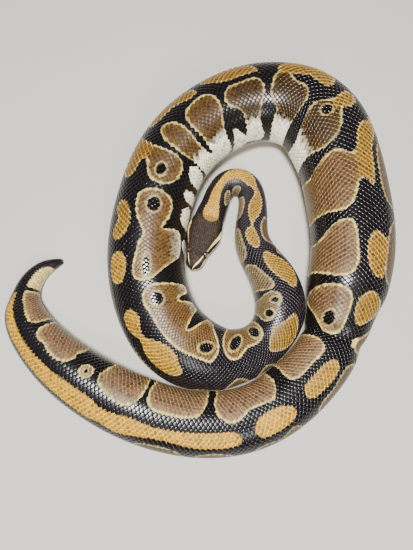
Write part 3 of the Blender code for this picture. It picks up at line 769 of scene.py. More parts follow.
# ---- The scales of the back and sides ---------------------------------------------------------
# Smooth horn lozenges in rows along the body, each overlapping the next towards the tail: up to 59
# rows round the trunk, fewer on the neck and tail. They are laid on the skin one by one.

ROWS = [(0, 9), (30, 17), (60, 25), (100, 31), (220, 37), (340, 43), (440, 53), (520, 57), (900.5, 59),
        (1002.5, 47), (1050, 39), (1075, 35), (1185.5, 32)]
MOST_ROWS = 61
PITCH_MM = [(0, 1.8), (60, 3.0), (100, 3.4), (220, 3.5), (350, 3.5), (420, 3.9), (500, 4.3), (700, 4.6),
            (780, 4.2), (830, 3.4), (880, 2.8), (951, 2.6), (1053.5, 2.9), (1103.5, 2.8), (1185.5, 2.6)]
BACK_SHARE = 0.36        # how far down each side the scales go, as a share of the girth
SCALE_THICK_MM, FULL_WIDTH_MM = 0.85, 5.0    # a narrower scale is thinner in proportion
LAP, SIDE_ROOM = 1.2, 0.97      # a scale's length to the spacing of its rows, and its width to its room
ASTRAY_MM, ASTRAY_SHARE = 0.12, 0.05         # how far scales stray: along, and across in widths
TONE_SPREAD, RIM_SPREAD = 0.10, 0.06         # how much scales differ in tone, in the middle and the rim
ROOT_DEEP = 0.05         # how deep a scale's root is in the skin, as a share of its thickness
HEAD_JOIN_MM = LENGTH_MM - 45.5
SCALE_SIDES, SCALE_POWER = 10, 1.45          # of its outline, between a lozenge (1) and an oval (2)
OFF_FLOOR_MM = 0.03      # nothing reaches lower than this

COUNT_STEP_MM = 0.25
fine = np.arange(0, LENGTH_MM, COUNT_STEP_MM)
count_to = np.concatenate([[0], np.cumsum(COUNT_STEP_MM / steady(PITCH_MM, fine))[:-1]])


def scale_shape():
    """One scale a unit long and wide: a domed lozenge, its tip raised, closed below."""
    n, shoulder = SCALE_SIDES, 0.62
    a = np.arange(n) * 2 * np.pi / n
    x, y = (0.5 * np.sign(t) * np.abs(t) ** (2 / SCALE_POWER) for t in (np.cos(a), np.sin(a)))
    edge_z = 0.06 + 0.5 * (x + 0.5)
    rings = [(1.0, edge_z - 0.32), (1.0, edge_z),
             (shoulder, edge_z * shoulder + 0.31 * (1 - shoulder) + 0.13)]
    verts = [(k * xi, k * yi, zi) for k, z in rings for xi, yi, zi in zip(x, y, z)] + [(0.0, 0.0, 0.47)]
    faces = [tuple(range(n - 1, -1, -1))]
    faces += [(r + i, r + (i + 1) % n, r + n + (i + 1) % n, r + n + i) for r in (0, n) for i in range(n)]
    faces += [(2 * n + i, 2 * n + (i + 1) % n, 3 * n) for i in range(n)]
    mesh = bpy.data.meshes.new("scale_shape")
    mesh.from_pydata(verts, [], faces)
    give_colours(mesh, rim=np.array([1.0] * 2 * n + [0.42] * n + [0.0]))
    mesh.shade_smooth()
    face_out(mesh)
    return bpy.data.objects.new("scale_shape", mesh)


FACTORS = ("Length Factor", "Width Factor", "Thickness Factor")


def lay_scales_tree(finish):
    """Geometry nodes that set one scale on every point, turned and sized by the point, then make
    them mesh."""
    tree = bpy.data.node_groups.new("lay_scales", "GeometryNodeTree")
    face = tree.interface
    face.new_socket("Geometry", in_out="INPUT", socket_type="NodeSocketGeometry")
    face.new_socket("Scale Shape", in_out="INPUT", socket_type="NodeSocketObject")
    for name in FACTORS:
        face.new_socket(name, in_out="INPUT", socket_type="NodeSocketFloat").default_value = 1.0
    face.new_socket("Geometry", in_out="OUTPUT", socket_type="NodeSocketGeometry")
    given = node(tree, "NodeGroupInput")
    shape = node(tree, "GeometryNodeObjectInfo", Object=given.outputs["Scale Shape"])
    turned, size = (
        node(tree, "GeometryNodeInputNamedAttribute", {"data_type": "FLOAT_VECTOR"}, Name=name)
        for name in ("turned", "size"))
    factors = node(tree, "ShaderNodeCombineXYZ",
                   **{axis: given.outputs[name] for axis, name in zip("XYZ", FACTORS)})
    sized = node(tree, "ShaderNodeVectorMath", {"operation": "MULTIPLY"}, n0=size.outputs["Attribute"],
                 n1=factors.outputs["Vector"])
    laid = node(tree, "GeometryNodeInstanceOnPoints", Points=given.outputs["Geometry"],
                Instance=shape.outputs["Geometry"], Rotation=turned.outputs["Attribute"],
                Scale=sized.outputs["Vector"])
    real = node(tree, "GeometryNodeRealizeInstances", Geometry=laid.outputs["Instances"])
    finished = node(tree, "GeometryNodeSetMaterial", Geometry=real.outputs["Geometry"], Material=finish)
    node(tree, "NodeGroupOutput", Geometry=finished.outputs["Geometry"])
    return tree


def euler_from(x_axis, z_axis):
    """XYZ Euler angles that turn the axes so, for arrays of unit vectors."""
    y_axis = np.cross(z_axis, x_axis)
    pitch = np.arcsin(np.clip(-x_axis[:, 2], -1, 1))
    roll = np.arctan2(y_axis[:, 2], z_axis[:, 2])
    yaw = np.arctan2(x_axis[:, 1], x_axis[:, 0])
    return np.stack([roll, pitch, yaw], axis=1)


def lift_off_floor(places, low_mm=OFF_FLOOR_MM):
    """The places, in metres, with none lower than this."""
    lifted = np.array(places)
    lifted[:, 2] = np.maximum(lifted[:, 2], low_mm / 1000)
    return lifted


def face_corners(mesh):
    """The vertex at each corner of each face."""
    corners = np.zeros(len(mesh.loops), np.int32)
    mesh.loops.foreach_get("vertex_index", corners)
    return corners


def bake_map(mesh, places):
    """Writes the map OFBake: a place in the unwrapped skin for each corner of each face."""
    layer = mesh.uv_layers.new(name="OFBake")
    layer.data.foreach_set("uv", places.astype(np.float32).ravel())


# Scales: thin hard keratin, smooth and slightly glossy, the dark ones glossier than the pale, with
# grains of colour about a millimetre across and a pale or dark rim; the dark scales' paler rims are
# partly a painted sheen.
KERATIN_IOR = 1.54
scale_finish, tree, shader = plain_material("python_scale_keratin")
middle = node(tree, "ShaderNodeAttribute", {"attribute_name": "tint"})
rim_colour = node(tree, "ShaderNodeAttribute", {"attribute_name": "rim_tint"})
rim = node(tree, "ShaderNodeAttribute", {"attribute_name": "rim"})
dull = node(tree, "ShaderNodeAttribute", {"attribute_name": "dull"})
where = node(tree, "ShaderNodeTexCoord")
grain = node(tree, "ShaderNodeTexNoise", Vector=where.outputs["Object"], Scale=0.9 * PER_MM, Detail=3.0,
             Roughness=0.6)
edge = node(tree, "ShaderNodeMapRange", {"interpolation_type": "SMOOTHSTEP"}, Value=rim.outputs["Fac"],
            From_Min=0.35, From_Max=1.0)
mixed = node(tree, "ShaderNodeMix", {"data_type": "RGBA"}, n0=edge.outputs["Result"],
             n6=middle.outputs["Color"], n7=rim_colour.outputs["Color"])
mottle = node(tree, "ShaderNodeMapRange", Value=grain.outputs["Fac"], From_Min=0.3, From_Max=0.7,
              To_Min=0.38, To_Max=1.62)
coloured = node(tree, "ShaderNodeMix", {"data_type": "RGBA", "blend_type": "MULTIPLY"}, n0=1.0,
                n6=mixed.outputs[2], n7=mottle.outputs["Result"])
lightness = node(tree, "ShaderNodeRGBToBW", Color=middle.outputs["Color"])
rough = node(tree, "ShaderNodeMapRange", Value=lightness.outputs["Val"], From_Min=0.0, From_Max=0.1,
             To_Min=0.24, To_Max=0.5)
roughness = node(tree, "ShaderNodeMath", {"operation": "ADD"}, n0=rough.outputs["Result"],
                 n1=dull.outputs["Fac"])
ridges = node(tree, "ShaderNodeBump", Strength=0.12, Distance=0.0001, Height=grain.outputs["Fac"])
wire(tree, shader, Base_Color=coloured.outputs[2], Roughness=roughness.outputs["Value"],
     Normal=ridges.outputs["Normal"], IOR=KERATIN_IOR, Specular_IOR_Level=0.36)

SCALE = scale_shape()
bpy.context.scene.collection.objects.link(SCALE)
lay_scales = lay_scales_tree(scale_finish)
inputs = {i.name: i.identifier for i in lay_scales.interface.items_tree if i.in_out == "INPUT"}

# Every second row of a ring stands half a scale back, so a ring is counted in half pitches.
all_s, all_g, all_size = [], [], []
for ring in range(2, int(np.interp(HEAD_JOIN_MM, fine, count_to) * 2) + 1):
    s = np.array([np.interp(ring / 2, count_to, fine)])
    share = 2 * BACK_SHARE / steady(ROWS, s)[0]
    row = np.arange(MOST_ROWS) - MOST_ROWS // 2
    row = row[(row % 2 == ring % 2) & (np.abs(row) * share <= BACK_SHARE - 0.3 * share)]
    all_s.append(np.full(len(row), s[0]))
    all_g.append(steady(BACK_LINE, s)[0] + row * share)
    all_size.append(np.full(len(row), share))
scale_s, scale_g, scale_share = map(np.concatenate, (all_s, all_g, all_size))
scatter = np.random.default_rng(11)
scale_s = scale_s + scatter.normal(0, ASTRAY_MM, len(scale_s))
scale_g = scale_g + scatter.normal(0, ASTRAY_SHARE, len(scale_g)) * scale_share
stretch = SHAPE.read(SHAPE.stretch, scale_s, scale_g)
wide_mm = 2 * scale_share * SHAPE.girth_at(scale_s) * SIDE_ROOM
long_mm = steady(PITCH_MM, scale_s) * LAP * np.clip(stretch, 0.35, 1.6) ** 0.75
thick_mm = SCALE_THICK_MM * np.clip(wide_mm / FULL_WIDTH_MM, 0.35, 1.0)
size_m = np.stack([long_mm, wide_mm, thick_mm], axis=1) / 1000
root, normal = SHAPE.point(scale_s, scale_g, skin_level(scale_s) - ROOT_DEEP * thick_mm)
behind, _ = SHAPE.point(scale_s - 1.0, scale_g, -SKIN_UNDER_MM)
to_tail = behind - root
to_tail -= normal * (to_tail * normal).sum(axis=1)[:, None]
to_tail /= np.linalg.norm(to_tail, axis=1)[:, None]
scale_tone = np.stack([
    scatter.normal(1.0, TONE_SPREAD, len(scale_s)), scatter.normal(1.0, RIM_SPREAD, len(scale_s)),
    scatter.random(len(scale_s))], axis=1)
root_kind = markings(scale_s, scale_g)[0]
corner_xy = np.array([v.co[:2] for v in SCALE.data.vertices])
shape_xy = corner_xy[face_corners(SCALE.data)]


def lay_coat(name, here):
    """The scales that stand here, as a plain mesh."""
    points_mesh = bpy.data.meshes.new("scale_roots")
    points_mesh.from_pydata(root[here].tolist(), [], [])
    for layer_name, values in (("turned", euler_from(to_tail[here], normal[here])),
                               ("size", size_m[here])):
        layer = points_mesh.attributes.new(layer_name, "FLOAT_VECTOR", "POINT")
        layer.data.foreach_set("vector", values.astype(np.float32).ravel())
    roots = bpy.data.objects.new("scale_roots", points_mesh)
    bpy.context.scene.collection.objects.link(roots)
    laying = roots.modifiers.new("lay_scales", "NODES")
    laying.node_group = lay_scales
    laying[inputs["Scale Shape"]] = SCALE
    for factor in FACTORS:
        laying[inputs[factor]] = 1.0
    graph = bpy.context.evaluated_depsgraph_get()
    mesh = bpy.data.meshes.new_from_object(roots.evaluated_get(graph), preserve_all_data_layers=True,
                                           depsgraph=graph)
    mesh.name = name
    at = np.zeros(3 * len(mesh.vertices), np.float32)
    mesh.vertices.foreach_get("co", at)
    mesh.vertices.foreach_set("co", lift_off_floor(at.reshape(-1, 3)).ravel())
    bpy.data.objects.remove(roots, do_unlink=True)
    return mesh


# How closely the markings' edges run through a scale rather than step round it, and for the whites.
FOLLOW, FOLLOW_WHITE = 0.66, 0.25
NECK_DULL, SPOT_GLOSS = 0.14, 0.12      # what a worn neck adds to roughness, and a spot takes off
PATCH = 0.003                           # a scale's size on the map
COAT_ENDS = [0, 260, 430, 570, 720, 830, 900, 1000, LENGTH_MM]
for number, (start, end) in enumerate(zip(COAT_ENDS, COAT_ENDS[1:]), 1):
    here = (scale_s >= start) & (scale_s < end)
    coat_mesh = lay_coat(f"back_scales_{number}", here)
    follow = np.where(root_kind[here] == WHITE, FOLLOW_WHITE, FOLLOW)[:, None]
    wide_share = (wide_mm / SHAPE.girth_at(scale_s))[here, None]
    corner_s = (scale_s[here, None] - follow * corner_xy[None, :, 0] * long_mm[here, None]).ravel()
    corner_g = (scale_g[here, None] - follow * corner_xy[None, :, 1] * wide_share).ravel()
    corner_tone = np.repeat(scale_tone[here], len(corner_xy), axis=0)
    middle_tint, rim_tint = paint(corner_s, corner_g, corner_tone)
    in_spot = step(spot_depth(corner_s, signed(corner_g) * SHAPE.girth_at(corner_s)), -0.5, 0.5)
    give_colours(coat_mesh, tint=middle_tint, rim_tint=rim_tint,
                 dull=NECK_DULL * step(corner_s, 1000, 1100) - SPOT_GLOSS * in_spot)
    place = np.stack([0.02 + 0.96 * (scale_s[here] - start) / (end - start),
                      0.5 + 0.94 * from_back(scale_s[here], scale_g[here])], axis=1)
    bake_map(coat_mesh, place[:, None, :] + PATCH * shape_xy[None])
    coat = piece(f"back_scales_{number}", coat_mesh, scale_finish)
    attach(coat, "root")
bpy.data.objects.remove(SCALE, do_unlink=True)

# ---- The plates of the belly and the tail's underside --------------------------------------------
# One row of broad smooth horn plates, as wide as the belly, that the snake creeps on: about two
# hundred before the vent, one over it, and pairs behind it. Each laps over the next.

PLATE_EDGE = 0.352       # where the plates end, as a share of the girth from the backbone
PAIR_GAP = 0.0015        # the groove between the plates of a pair, to each side, as such a share
VENT_MM, TAIL_END_MM = 98.0, 5.0
PITCHES_TO_PLATE = 1.5   # a plate is one and a half rows of scales long
# a plate's cut lengthways: the share of its length from its head end, and mm out from the skin
PLATE_PROFILE = [(-0.08, -0.12), (0.3, 0.2), (0.7, 0.36), (1.04, 0.47), (1.12, 0.34), (1.06, 0.12)]
FULL_LENGTH_MM = 3.5     # a plate shorter than this is thinner in proportion
PLATE_OFF_FLOOR_MM = 0.02
CORNER_CUT = 0.22        # how much a plate's corners are rounded off, as a share of its length
DUSKY_FROM, DUSKY_TO = 0.36, 0.405     # where its ends turn from dusky to ivory, as shares of the girth
TUCKED_MM, TUCKED_SHADE = 0.15, 0.86   # the edges tucked in below this are painted that much darker, as painted shade under the lap

# Belly plates: the same horn, thicker, polished by creeping, ivory with dusky ends and soft clouds
# of colour about three millimetres across.
BELLY = linear("#e3dac4")
plate_finish, tree, shader = plain_material("python_belly_keratin")
tint = node(tree, "ShaderNodeAttribute", {"attribute_name": "tint"})
where = node(tree, "ShaderNodeTexCoord")
cloud = node(tree, "ShaderNodeTexNoise", Vector=where.outputs["Object"], Scale=0.35 * PER_MM,
             Detail=3.0)
soft = node(tree, "ShaderNodeMapRange", Value=cloud.outputs["Fac"], To_Min=0.85, To_Max=1.12)
coloured = node(tree, "ShaderNodeMix", {"data_type": "RGBA", "blend_type": "MULTIPLY"}, n0=1.0,
                n6=tint.outputs["Color"], n7=soft.outputs["Result"])
wire(tree, shader, Base_Color=coloured.outputs[2], Roughness=0.36, IOR=KERATIN_IOR)


def plates(edges, across_from, across_to, segments):
    """Closed plates between the stations of edges, lapping towards the tail, with their tints and
    their places as (station, share of the girth)."""
    verts, faces, tints, rooms = [], [], [], []
    places = np.linspace(0, 1, segments + 1)
    share = across_from + (across_to - across_from) * places
    ends = step(np.abs(signed(share)), DUSKY_FROM, DUSKY_TO)
    round_off = 1 - CORNER_CUT * np.abs(2 * places - 1) ** 6
    n, m = segments + 1, len(PLATE_PROFILE)
    for tail_end, head_end in zip(edges, edges[1:]):
        long, mid, base = head_end - tail_end, (tail_end + head_end) / 2, len(verts)
        g = steady(BACK_LINE, np.array([mid]))[0] + share
        for along, out in PLATE_PROFILE:
            s = head_end - long * (0.5 + (along - 0.5) * round_off)
            out_mm = skin_level(mid) + out * min(1, long / FULL_LENGTH_MM)
            at, _ = SHAPE.point(np.clip(s, 0.2, LENGTH_MM - 1), g, out_mm)
            verts += lift_off_floor(at, PLATE_OFF_FLOOR_MM).tolist()
            middle, _ = paint(s, g, np.ones((len(s), 3)))
            tints += list(blend(middle, BELLY, ends) * (TUCKED_SHADE if out < TUCKED_MM else 1.0))
            rooms += list(zip(mid + 0.4 * (s - mid), g))
        for r in range(m):
            for i in range(segments):
                a, b = base + r * n + i, base + ((r + 1) % m) * n + i
                faces.append((a, a + 1, b + 1, b))
        faces.append(tuple(base + r * n for r in range(m)))
        faces.append(tuple(base + r * n + segments for r in range(m))[::-1])
    return verts, faces, tints, rooms


plate_count = count_to / PITCHES_TO_PLATE
whole = np.arange(math.ceil(np.interp(VENT_MM, fine, plate_count)),
                  int(np.interp(LENGTH_MM - 40, fine, plate_count)))
belly_edges = np.interp(whole, plate_count, fine)
tail_whole = np.arange(int(np.interp(TAIL_END_MM, fine, count_to)) + 1,
                       int(np.interp(belly_edges[0] - 4, fine, count_to)))
tail_edges = np.interp(tail_whole, count_to, fine)
verts, faces, tints, rooms = [], [], [], []
for v, f, c, r in (
        plates(np.concatenate([[tail_edges[-1]], belly_edges]), PLATE_EDGE, 1 - PLATE_EDGE, 14),
        plates(tail_edges, PLATE_EDGE, 0.5 - PAIR_GAP, 6),
        plates(tail_edges, 0.5 + PAIR_GAP, 1 - PLATE_EDGE, 6)):
    faces += [tuple(i + len(verts) for i in one) for one in f]
    verts += v
    tints += c
    rooms += r
plate_mesh = bpy.data.meshes.new("belly_plates")
plate_mesh.from_pydata(verts, [], faces)
plate_mesh.shade_smooth()
give_colours(plate_mesh, tint=np.array(tints))
face_out(plate_mesh)
room_s, room_g = np.array(rooms).T
place = np.stack([0.02 + 0.96 * room_s / LENGTH_MM,
                  0.5 + 0.9 * (room_g - steady(BACK_LINE, room_s) - 0.5)], axis=1)
bake_map(plate_mesh, place[face_corners(plate_mesh)])
plate_mesh.set_sharp_from_angle(angle=math.radians(60))
belly = piece("belly_plates", plate_mesh, plate_finish)
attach(belly, "root")

# ---- The shields of the head ----------------------------------------------------------------------
# Smooth horn shields that meet edge to edge over the snout, brows, lips and chin, and small ones over
# the crown and cheeks, all in one shell. Pits for sensing warmth are sunk in the front lip shields.

HEAD_ROUND = 300                                                  # points round the shell
SNOUT_CAP = ((0.86, 0.3), (0.66, 0.55), (0.4, 0.72), (0.18, 0.8))    # share of the last ring, mm ahead
SNOUT_TIP_MM = 0.82
PLAIN, LIP_PIT, CHIN_PIT, NOSTRIL, EYE = range(5)
PIT_MM = {LIP_PIT: (0.55, 0.5), CHIN_PIT: (0.3, 0.4), NOSTRIL: (0.9, 0.5)}    # depth, reach
PIT_RAISE_MM = 0.3          # how far a lip pit stands over its shield's middle
UPPER_LIP_MM = (2.3, 4.9, 7.5, 10.1, 12.8, 15.6, 18.5, 21.6, 24.9, 28.4, 32.0)
LOWER_LIP_MM = (2.4, 4.7, 7.0, 9.4, 11.9, 14.5, 17.2, 20.0, 22.9, 25.9, 29.0, 32.2)
UPPER_PITS, LOWER_PITS = (0, 1, 2, 3), (6, 7, 8, 9)               # which lip shields have a pit
TOP_SHIELDS = (   # mm behind the snout, mm from the midline, size allowance in mm, pit
    (1.6, 1.6, 0.0, PLAIN), (2.0, 4.5, 0.0, NOSTRIL), (4.9, 2.1, 0.4, PLAIN), (5.2, 5.7, 0.0, PLAIN),
    (8.9, 2.3, 0.5, PLAIN), (8.6, 6.1, 0.0, PLAIN), (12.6, 2.0, 0.3, PLAIN), (15.9, 1.9, 0.2, PLAIN),
    (14.6, 6.3, 1.6, PLAIN),    # brow
    (11.3, 5.0, 0.0, PLAIN))
CHEEK_SHIELDS = (    # mm behind the snout, mm above the mouth line
    (5.6, 4.0), (8.3, 4.1), (10.6, 4.2), (9.4, 6.0))
UPPER_LIP_UP_MM, LOWER_LIP_UP_MM = 1.35, -1.5           # of their middles, over the mouth line
EYE_ALLOW_MM = 2.55
RING_LONG_MM, RING_TALL_MM = 3.9, 3.7                   # the ring of small shields round the eye
GROOVE_MM, GROOVE_REACH_MM = 0.34, 0.24                 # the groove round a shield
DOME_MM, DOME_REACH_MM = 0.1, 0.7                       # its rise from there to its middle
SOCKET_MM, SOCKET_FROM_MM, SOCKET_TO_MM = 0.9, 2.6, 3.35    # depth, and distances from the eye's middle
SOCKET_RIM_MM, SOCKET_RIM_AT_MM, SOCKET_RIM_REACH_MM = 0.22, 3.55, 0.35
END_DEEP_MM, END_FROM_MM, END_TO_MM = 0.8, 46.6, 47.9   # the shell's end, drawn in under the scales

crown_shape = Shape(np.concatenate([np.arange(LENGTH_MM - 48.0, LENGTH_MM - 0.3, 0.35),
                                    [LENGTH_MM - 0.02]]), HEAD_ROUND)
head_s, head_g = np.meshgrid(crown_shape.stations, np.arange(HEAD_ROUND) / HEAD_ROUND, indexing="ij")
last, forward = crown_shape.at[-1], np.append(heading[-1], 0.0)
centre = last.mean(axis=0)
cap = [centre + (last - centre) * k + forward * a / 1000 for k, a in SNOUT_CAP]


def on_head(back, g):
    """The place, in metres, on the head's surface this far behind the snout."""
    return crown_shape.read(crown_shape.at, np.array([LENGTH_MM - back]), np.array([g]))[0]


def beside_mouth(back, above_mm, side):
    """The share of the girth where the head's side is this far above the mouth line."""
    i = min(np.searchsorted(crown_shape.stations, LENGTH_MM - back), len(crown_shape.stations) - 1)
    want = head_at(back, MOUTH)[0] + above_mm
    down = np.arange(HEAD_ROUND // 8, HEAD_ROUND // 2)
    at = down[np.argmin(np.abs(crown_shape.level[i][down] - want))]
    return side * at / HEAD_ROUND


shields = []    # place and size allowance in metres, and what is sunk in it


def shield(at, allow_mm=0.0, pit=PLAIN):
    """Plants a shield on the head."""
    shields.append((at, allow_mm / 1000, pit))


eyes = []
for side in (1, -1):
    half = head_at(EYE_BACK_MM, HALF_WIDTH)[0]
    eyes.append(placed(LENGTH_MM - EYE_BACK_MM, [(side * (half - EYE_INSET_MM), EYE_LEVEL_MM)])[0])
    for number, back in enumerate(UPPER_LIP_MM):
        shield(on_head(back, beside_mouth(back, UPPER_LIP_UP_MM, side)),
               pit=LIP_PIT if number in UPPER_PITS else PLAIN)
    for number, back in enumerate(LOWER_LIP_MM):
        shield(on_head(back, beside_mouth(back, LOWER_LIP_UP_MM, side)),
               pit=CHIN_PIT if number in LOWER_PITS else PLAIN)
    for back, aside_mm, allow_mm, pit in TOP_SHIELDS:
        shield(on_head(back, side * aside_mm / crown_shape.girth_at(LENGTH_MM - back)), allow_mm, pit)
    for back, above_mm in CHEEK_SHIELDS:
        shield(on_head(back, beside_mouth(back, above_mm, side)))
shield(centre + forward * 0.0008 - np.array([0, 0, 0.0008]), 0.9, LIP_PIT)    # front of the snout
shield(on_head(0.6, 0.5) + np.array([0, 0, 0.0004]), 0.4)                     # front of the chin
for eye in eyes:
    shield(eye, EYE_ALLOW_MM, EYE)
for side in (1, -1):
    for turn in range(1, 9):        # the ring of small shields round the eye; the brow closes it
        a = math.radians(40 * turn + 90)
        back = EYE_BACK_MM - RING_LONG_MM * math.cos(a)
        up_mm = EYE_LEVEL_MM + RING_TALL_MM * math.sin(a)
        shield(on_head(back, beside_mouth(back, up_mm - head_at(back, MOUTH)[0], side)))
large = np.array([s[0] for s in shields])
for number, back in enumerate(np.concatenate([np.arange(6.0, 20.0, 1.9), np.arange(20.0, 49.0, 1.75)])):
    girth = float(crown_shape.girth_at(LENGTH_MM - back))
    space = 2.15 if back < 20 else 2.0
    for k in np.arange(-30, 31):
        arc = (k + 0.5 * (number % 2)) * space
        if abs(arc) > girth / 2 - space * 0.4:
            continue
        at = on_head(back, arc / girth)
        if np.linalg.norm(large - at, axis=1).min() > (0.0019 if back > 18 else 0.0021):
            shield(at)
seeds, allow = (np.array([s[column] for s in shields]) for column in (0, 1))


def nearest_shield(places, batch=4000):
    """For places on the head, the shield that each is in and how far it is from the shield's edge
    in mm. A shield with an allowance reaches further than its neighbours."""
    nearest, edge_mm = np.zeros(len(places), int), np.zeros(len(places))
    for start in range(0, len(places), batch):
        v = places[start:start + batch]
        each = np.arange(len(v))
        power = ((v[:, None, :] - seeds[None]) ** 2).sum(axis=2) - allow[None] ** 2
        order = np.argpartition(power, 5, axis=1)[:, :6]
        held = np.take_along_axis(power, order, axis=1)
        first = held.argmin(axis=1)
        own = order[each, first]
        apart = np.linalg.norm(seeds[order] - seeds[own][:, None], axis=2)
        apart[apart < 1e-9] = 1e9
        gap = (held - held[each, first][:, None]) / (2 * apart)
        gap[each, first] = 1e9
        nearest[start:start + batch], edge_mm[start:start + batch] = own, gap.min(axis=1) * 1000
    return nearest, edge_mm


base = tube_mesh("head_shields", np.concatenate([crown_shape.at, np.array(cap)]),
                 crown_shape.at[0].mean(axis=0), centre + forward * SNOUT_TIP_MM / 1000)
face_out(base)
verts = np.array([v.co[:] for v in base.vertices])
normals = np.array([v.normal[:] for v in base.vertices])
nearest, edge_mm = nearest_shield(verts)
sunk = []       # for each pit, how far the shell's points are from it in mm, its depth and its reach
for at, _, pit in shields:
    if pit in PIT_MM:
        at = at + np.array([0, 0, 0 if pit == NOSTRIL else PIT_RAISE_MM / 1000])
        sunk.append((np.linalg.norm(verts - at, axis=1) * 1000, *PIT_MM[pit]))
# the parts of the shell beyond the head's sections: the snout's cap, the closed end and the tip
on_cap = len(cap) * HEAD_ROUND
back_mm = np.concatenate([LENGTH_MM - head_s.ravel(), np.zeros(on_cap), [48.0, 0.0]])
level_mm = np.concatenate([
    crown_shape.level.ravel(), np.tile(crown_shape.level[-1], len(cap)), [8.0, 4.0]])
g_signed = signed(np.concatenate([head_g.ravel(), np.tile(head_g[0], len(cap)), [0.5, 0.5]]))

# Each shield is a low dome between grooves.
out_mm = -GROOVE_MM * np.exp(-(edge_mm / GROOVE_REACH_MM) ** 1.5)
out_mm = out_mm + DOME_MM * (1 - np.exp(-edge_mm / DOME_REACH_MM))
for from_pit, depth, reach in sunk:
    out_mm -= depth * np.exp(-((from_pit / reach) ** 3))
for eye in eyes:
    r = np.linalg.norm(verts - eye, axis=1) * 1000
    out_mm -= SOCKET_MM * (1 - step(r, SOCKET_FROM_MM, SOCKET_TO_MM))
    out_mm += SOCKET_RIM_MM * bell(r, SOCKET_RIM_AT_MM, SOCKET_RIM_REACH_MM)
out_mm -= END_DEEP_MM * step(back_mm, END_FROM_MM, END_TO_MM)
moved = lift_off_floor(verts + normals * out_mm[:, None] / 1000)
base.vertices.foreach_set("co", moved.astype(np.float32).ravel())
base.update()

HEAD_TOP, HEAD_FLECK, MASK = linear("#1f1208"), linear("#453118"), linear("#0f0a07")
LIP, CHIN = linear("#b9a88a"), linear("#cdc2a8")
above_mouth = level_mm - head_at(back_mm, MOUTH)
luck = np.random.default_rng(23)
fleck_of, tone_of = luck.random(len(seeds)), luck.normal(1, 0.08, len(seeds))
kind, depth, _ = markings(LENGTH_MM - np.clip(back_mm, 0, 60), g_signed)
gape = 1 - step(back_mm, 34, 44)
flecked = np.clip(1.1 - 1.8 * fleck_of[nearest], 0, 0.6) * step(edge_mm, 0.1, 0.5)
colour = blend(np.broadcast_to(HEAD_TOP, (len(verts), 3)), HEAD_FLECK, flecked)
colour = blend(colour, MASK, step(np.abs(g_signed), 0.17, 0.21))
colour = blend(colour, CREAM_RIM, np.where(kind == STRIPE, step(depth, 0.25, 0.75), 0))
colour = blend(colour, LIP, (1 - step(above_mouth, 2.1, 2.9)) * (np.abs(g_signed) > 0.14) * gape)
colour = blend(colour, CHIN, 1 - step(above_mouth, -1.2, 0.2))
net = blend(np.broadcast_to(GOLD_RIM, colour.shape), GOLD_IN, step(edge_mm, 0.12, 0.5))
in_gold = ((kind == GOLD) & (depth > 0))[:, None]
colour = np.where(in_gold, blend(colour, net, step(depth, 0, 0.5)), colour)
colour *= (tone_of[nearest] * (0.62 + 0.38 * step(edge_mm, 0.0, 0.3)))[:, None]
# The pits and the nostrils are painted darker inside: painted shade in the hollows.
for from_pit, _, _ in sunk:
    colour *= (1 - 0.75 * np.exp(-((from_pit / 0.5) ** 3)))[:, None]
# The mouth line is painted darker along its length: painted shade in the crease between the lips.
colour *= (1 - 0.7 * bell(above_mouth, 0, 0.3) * gape)[:, None]
give_colours(base, tint=np.clip(colour, 0, 1))

# The map is opened under the chin: a face that crosses there goes to its right-hand edge.
cap_step = np.concatenate([np.zeros(head_s.size), np.repeat(np.arange(1, len(cap) + 1), HEAD_ROUND),
                           [0, len(cap) + 1]])
uv = np.stack([0.5 + 0.9 * g_signed, 0.02 + 0.9 * (1 - back_mm / 48.5) + 0.009 * cap_step], axis=1)
uv[-2:, 0] = 0.5
uv = uv[face_corners(base)]
for p in base.polygons:
    across = uv[p.loop_start:p.loop_start + p.loop_total, 0]
    if across.max() - across.min() > 0.45:
        across[across < 0.5] += 0.9
bake_map(base, uv)

# Head shields: the same keratin, worn satin, speckled more finely than the body's scales.
shield_finish, tree, shader = plain_material("python_head_shield_keratin")
tint = node(tree, "ShaderNodeAttribute", {"attribute_name": "tint"})
where = node(tree, "ShaderNodeTexCoord")
fine_grain = node(tree, "ShaderNodeTexNoise", Vector=where.outputs["Object"], Scale=1.4 * PER_MM,
                  Detail=3.0, Roughness=0.65)
speckle = node(tree, "ShaderNodeMapRange", Value=fine_grain.outputs["Fac"], From_Min=0.3, From_Max=0.7,
               To_Min=0.7, To_Max=1.4)
coloured = node(tree, "ShaderNodeMix", {"data_type": "RGBA", "blend_type": "MULTIPLY"}, n0=1.0,
                n6=tint.outputs["Color"], n7=speckle.outputs["Result"])
wire(tree, shader, Base_Color=coloured.outputs[2], Roughness=0.58, Specular_IOR_Level=0.24,
     IOR=KERATIN_IOR)
head_shields = piece("head_shields", base, shield_finish)
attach(head_shields, "root")

# ---- The eyes -------------------------------------------------------------------------------------
# A dark ball with an upright slit pupil under a clear hard spectacle, which is a scale of its own:
# snakes have no lids. It is set in the ring of small shields below the brow.

SLIT_HALF_MM, SLIT_TALL_MM = 0.42, 1.55
BEHIND = 9.0             # the value of both layers on the ball's back, where there is no pupil
LOOK_OUT, LOOK_AHEAD, LOOK_UP = 0.93, 0.22, 0.3
POINTED = 0.05           # how far the front stands out of the ball, as a share of its radius

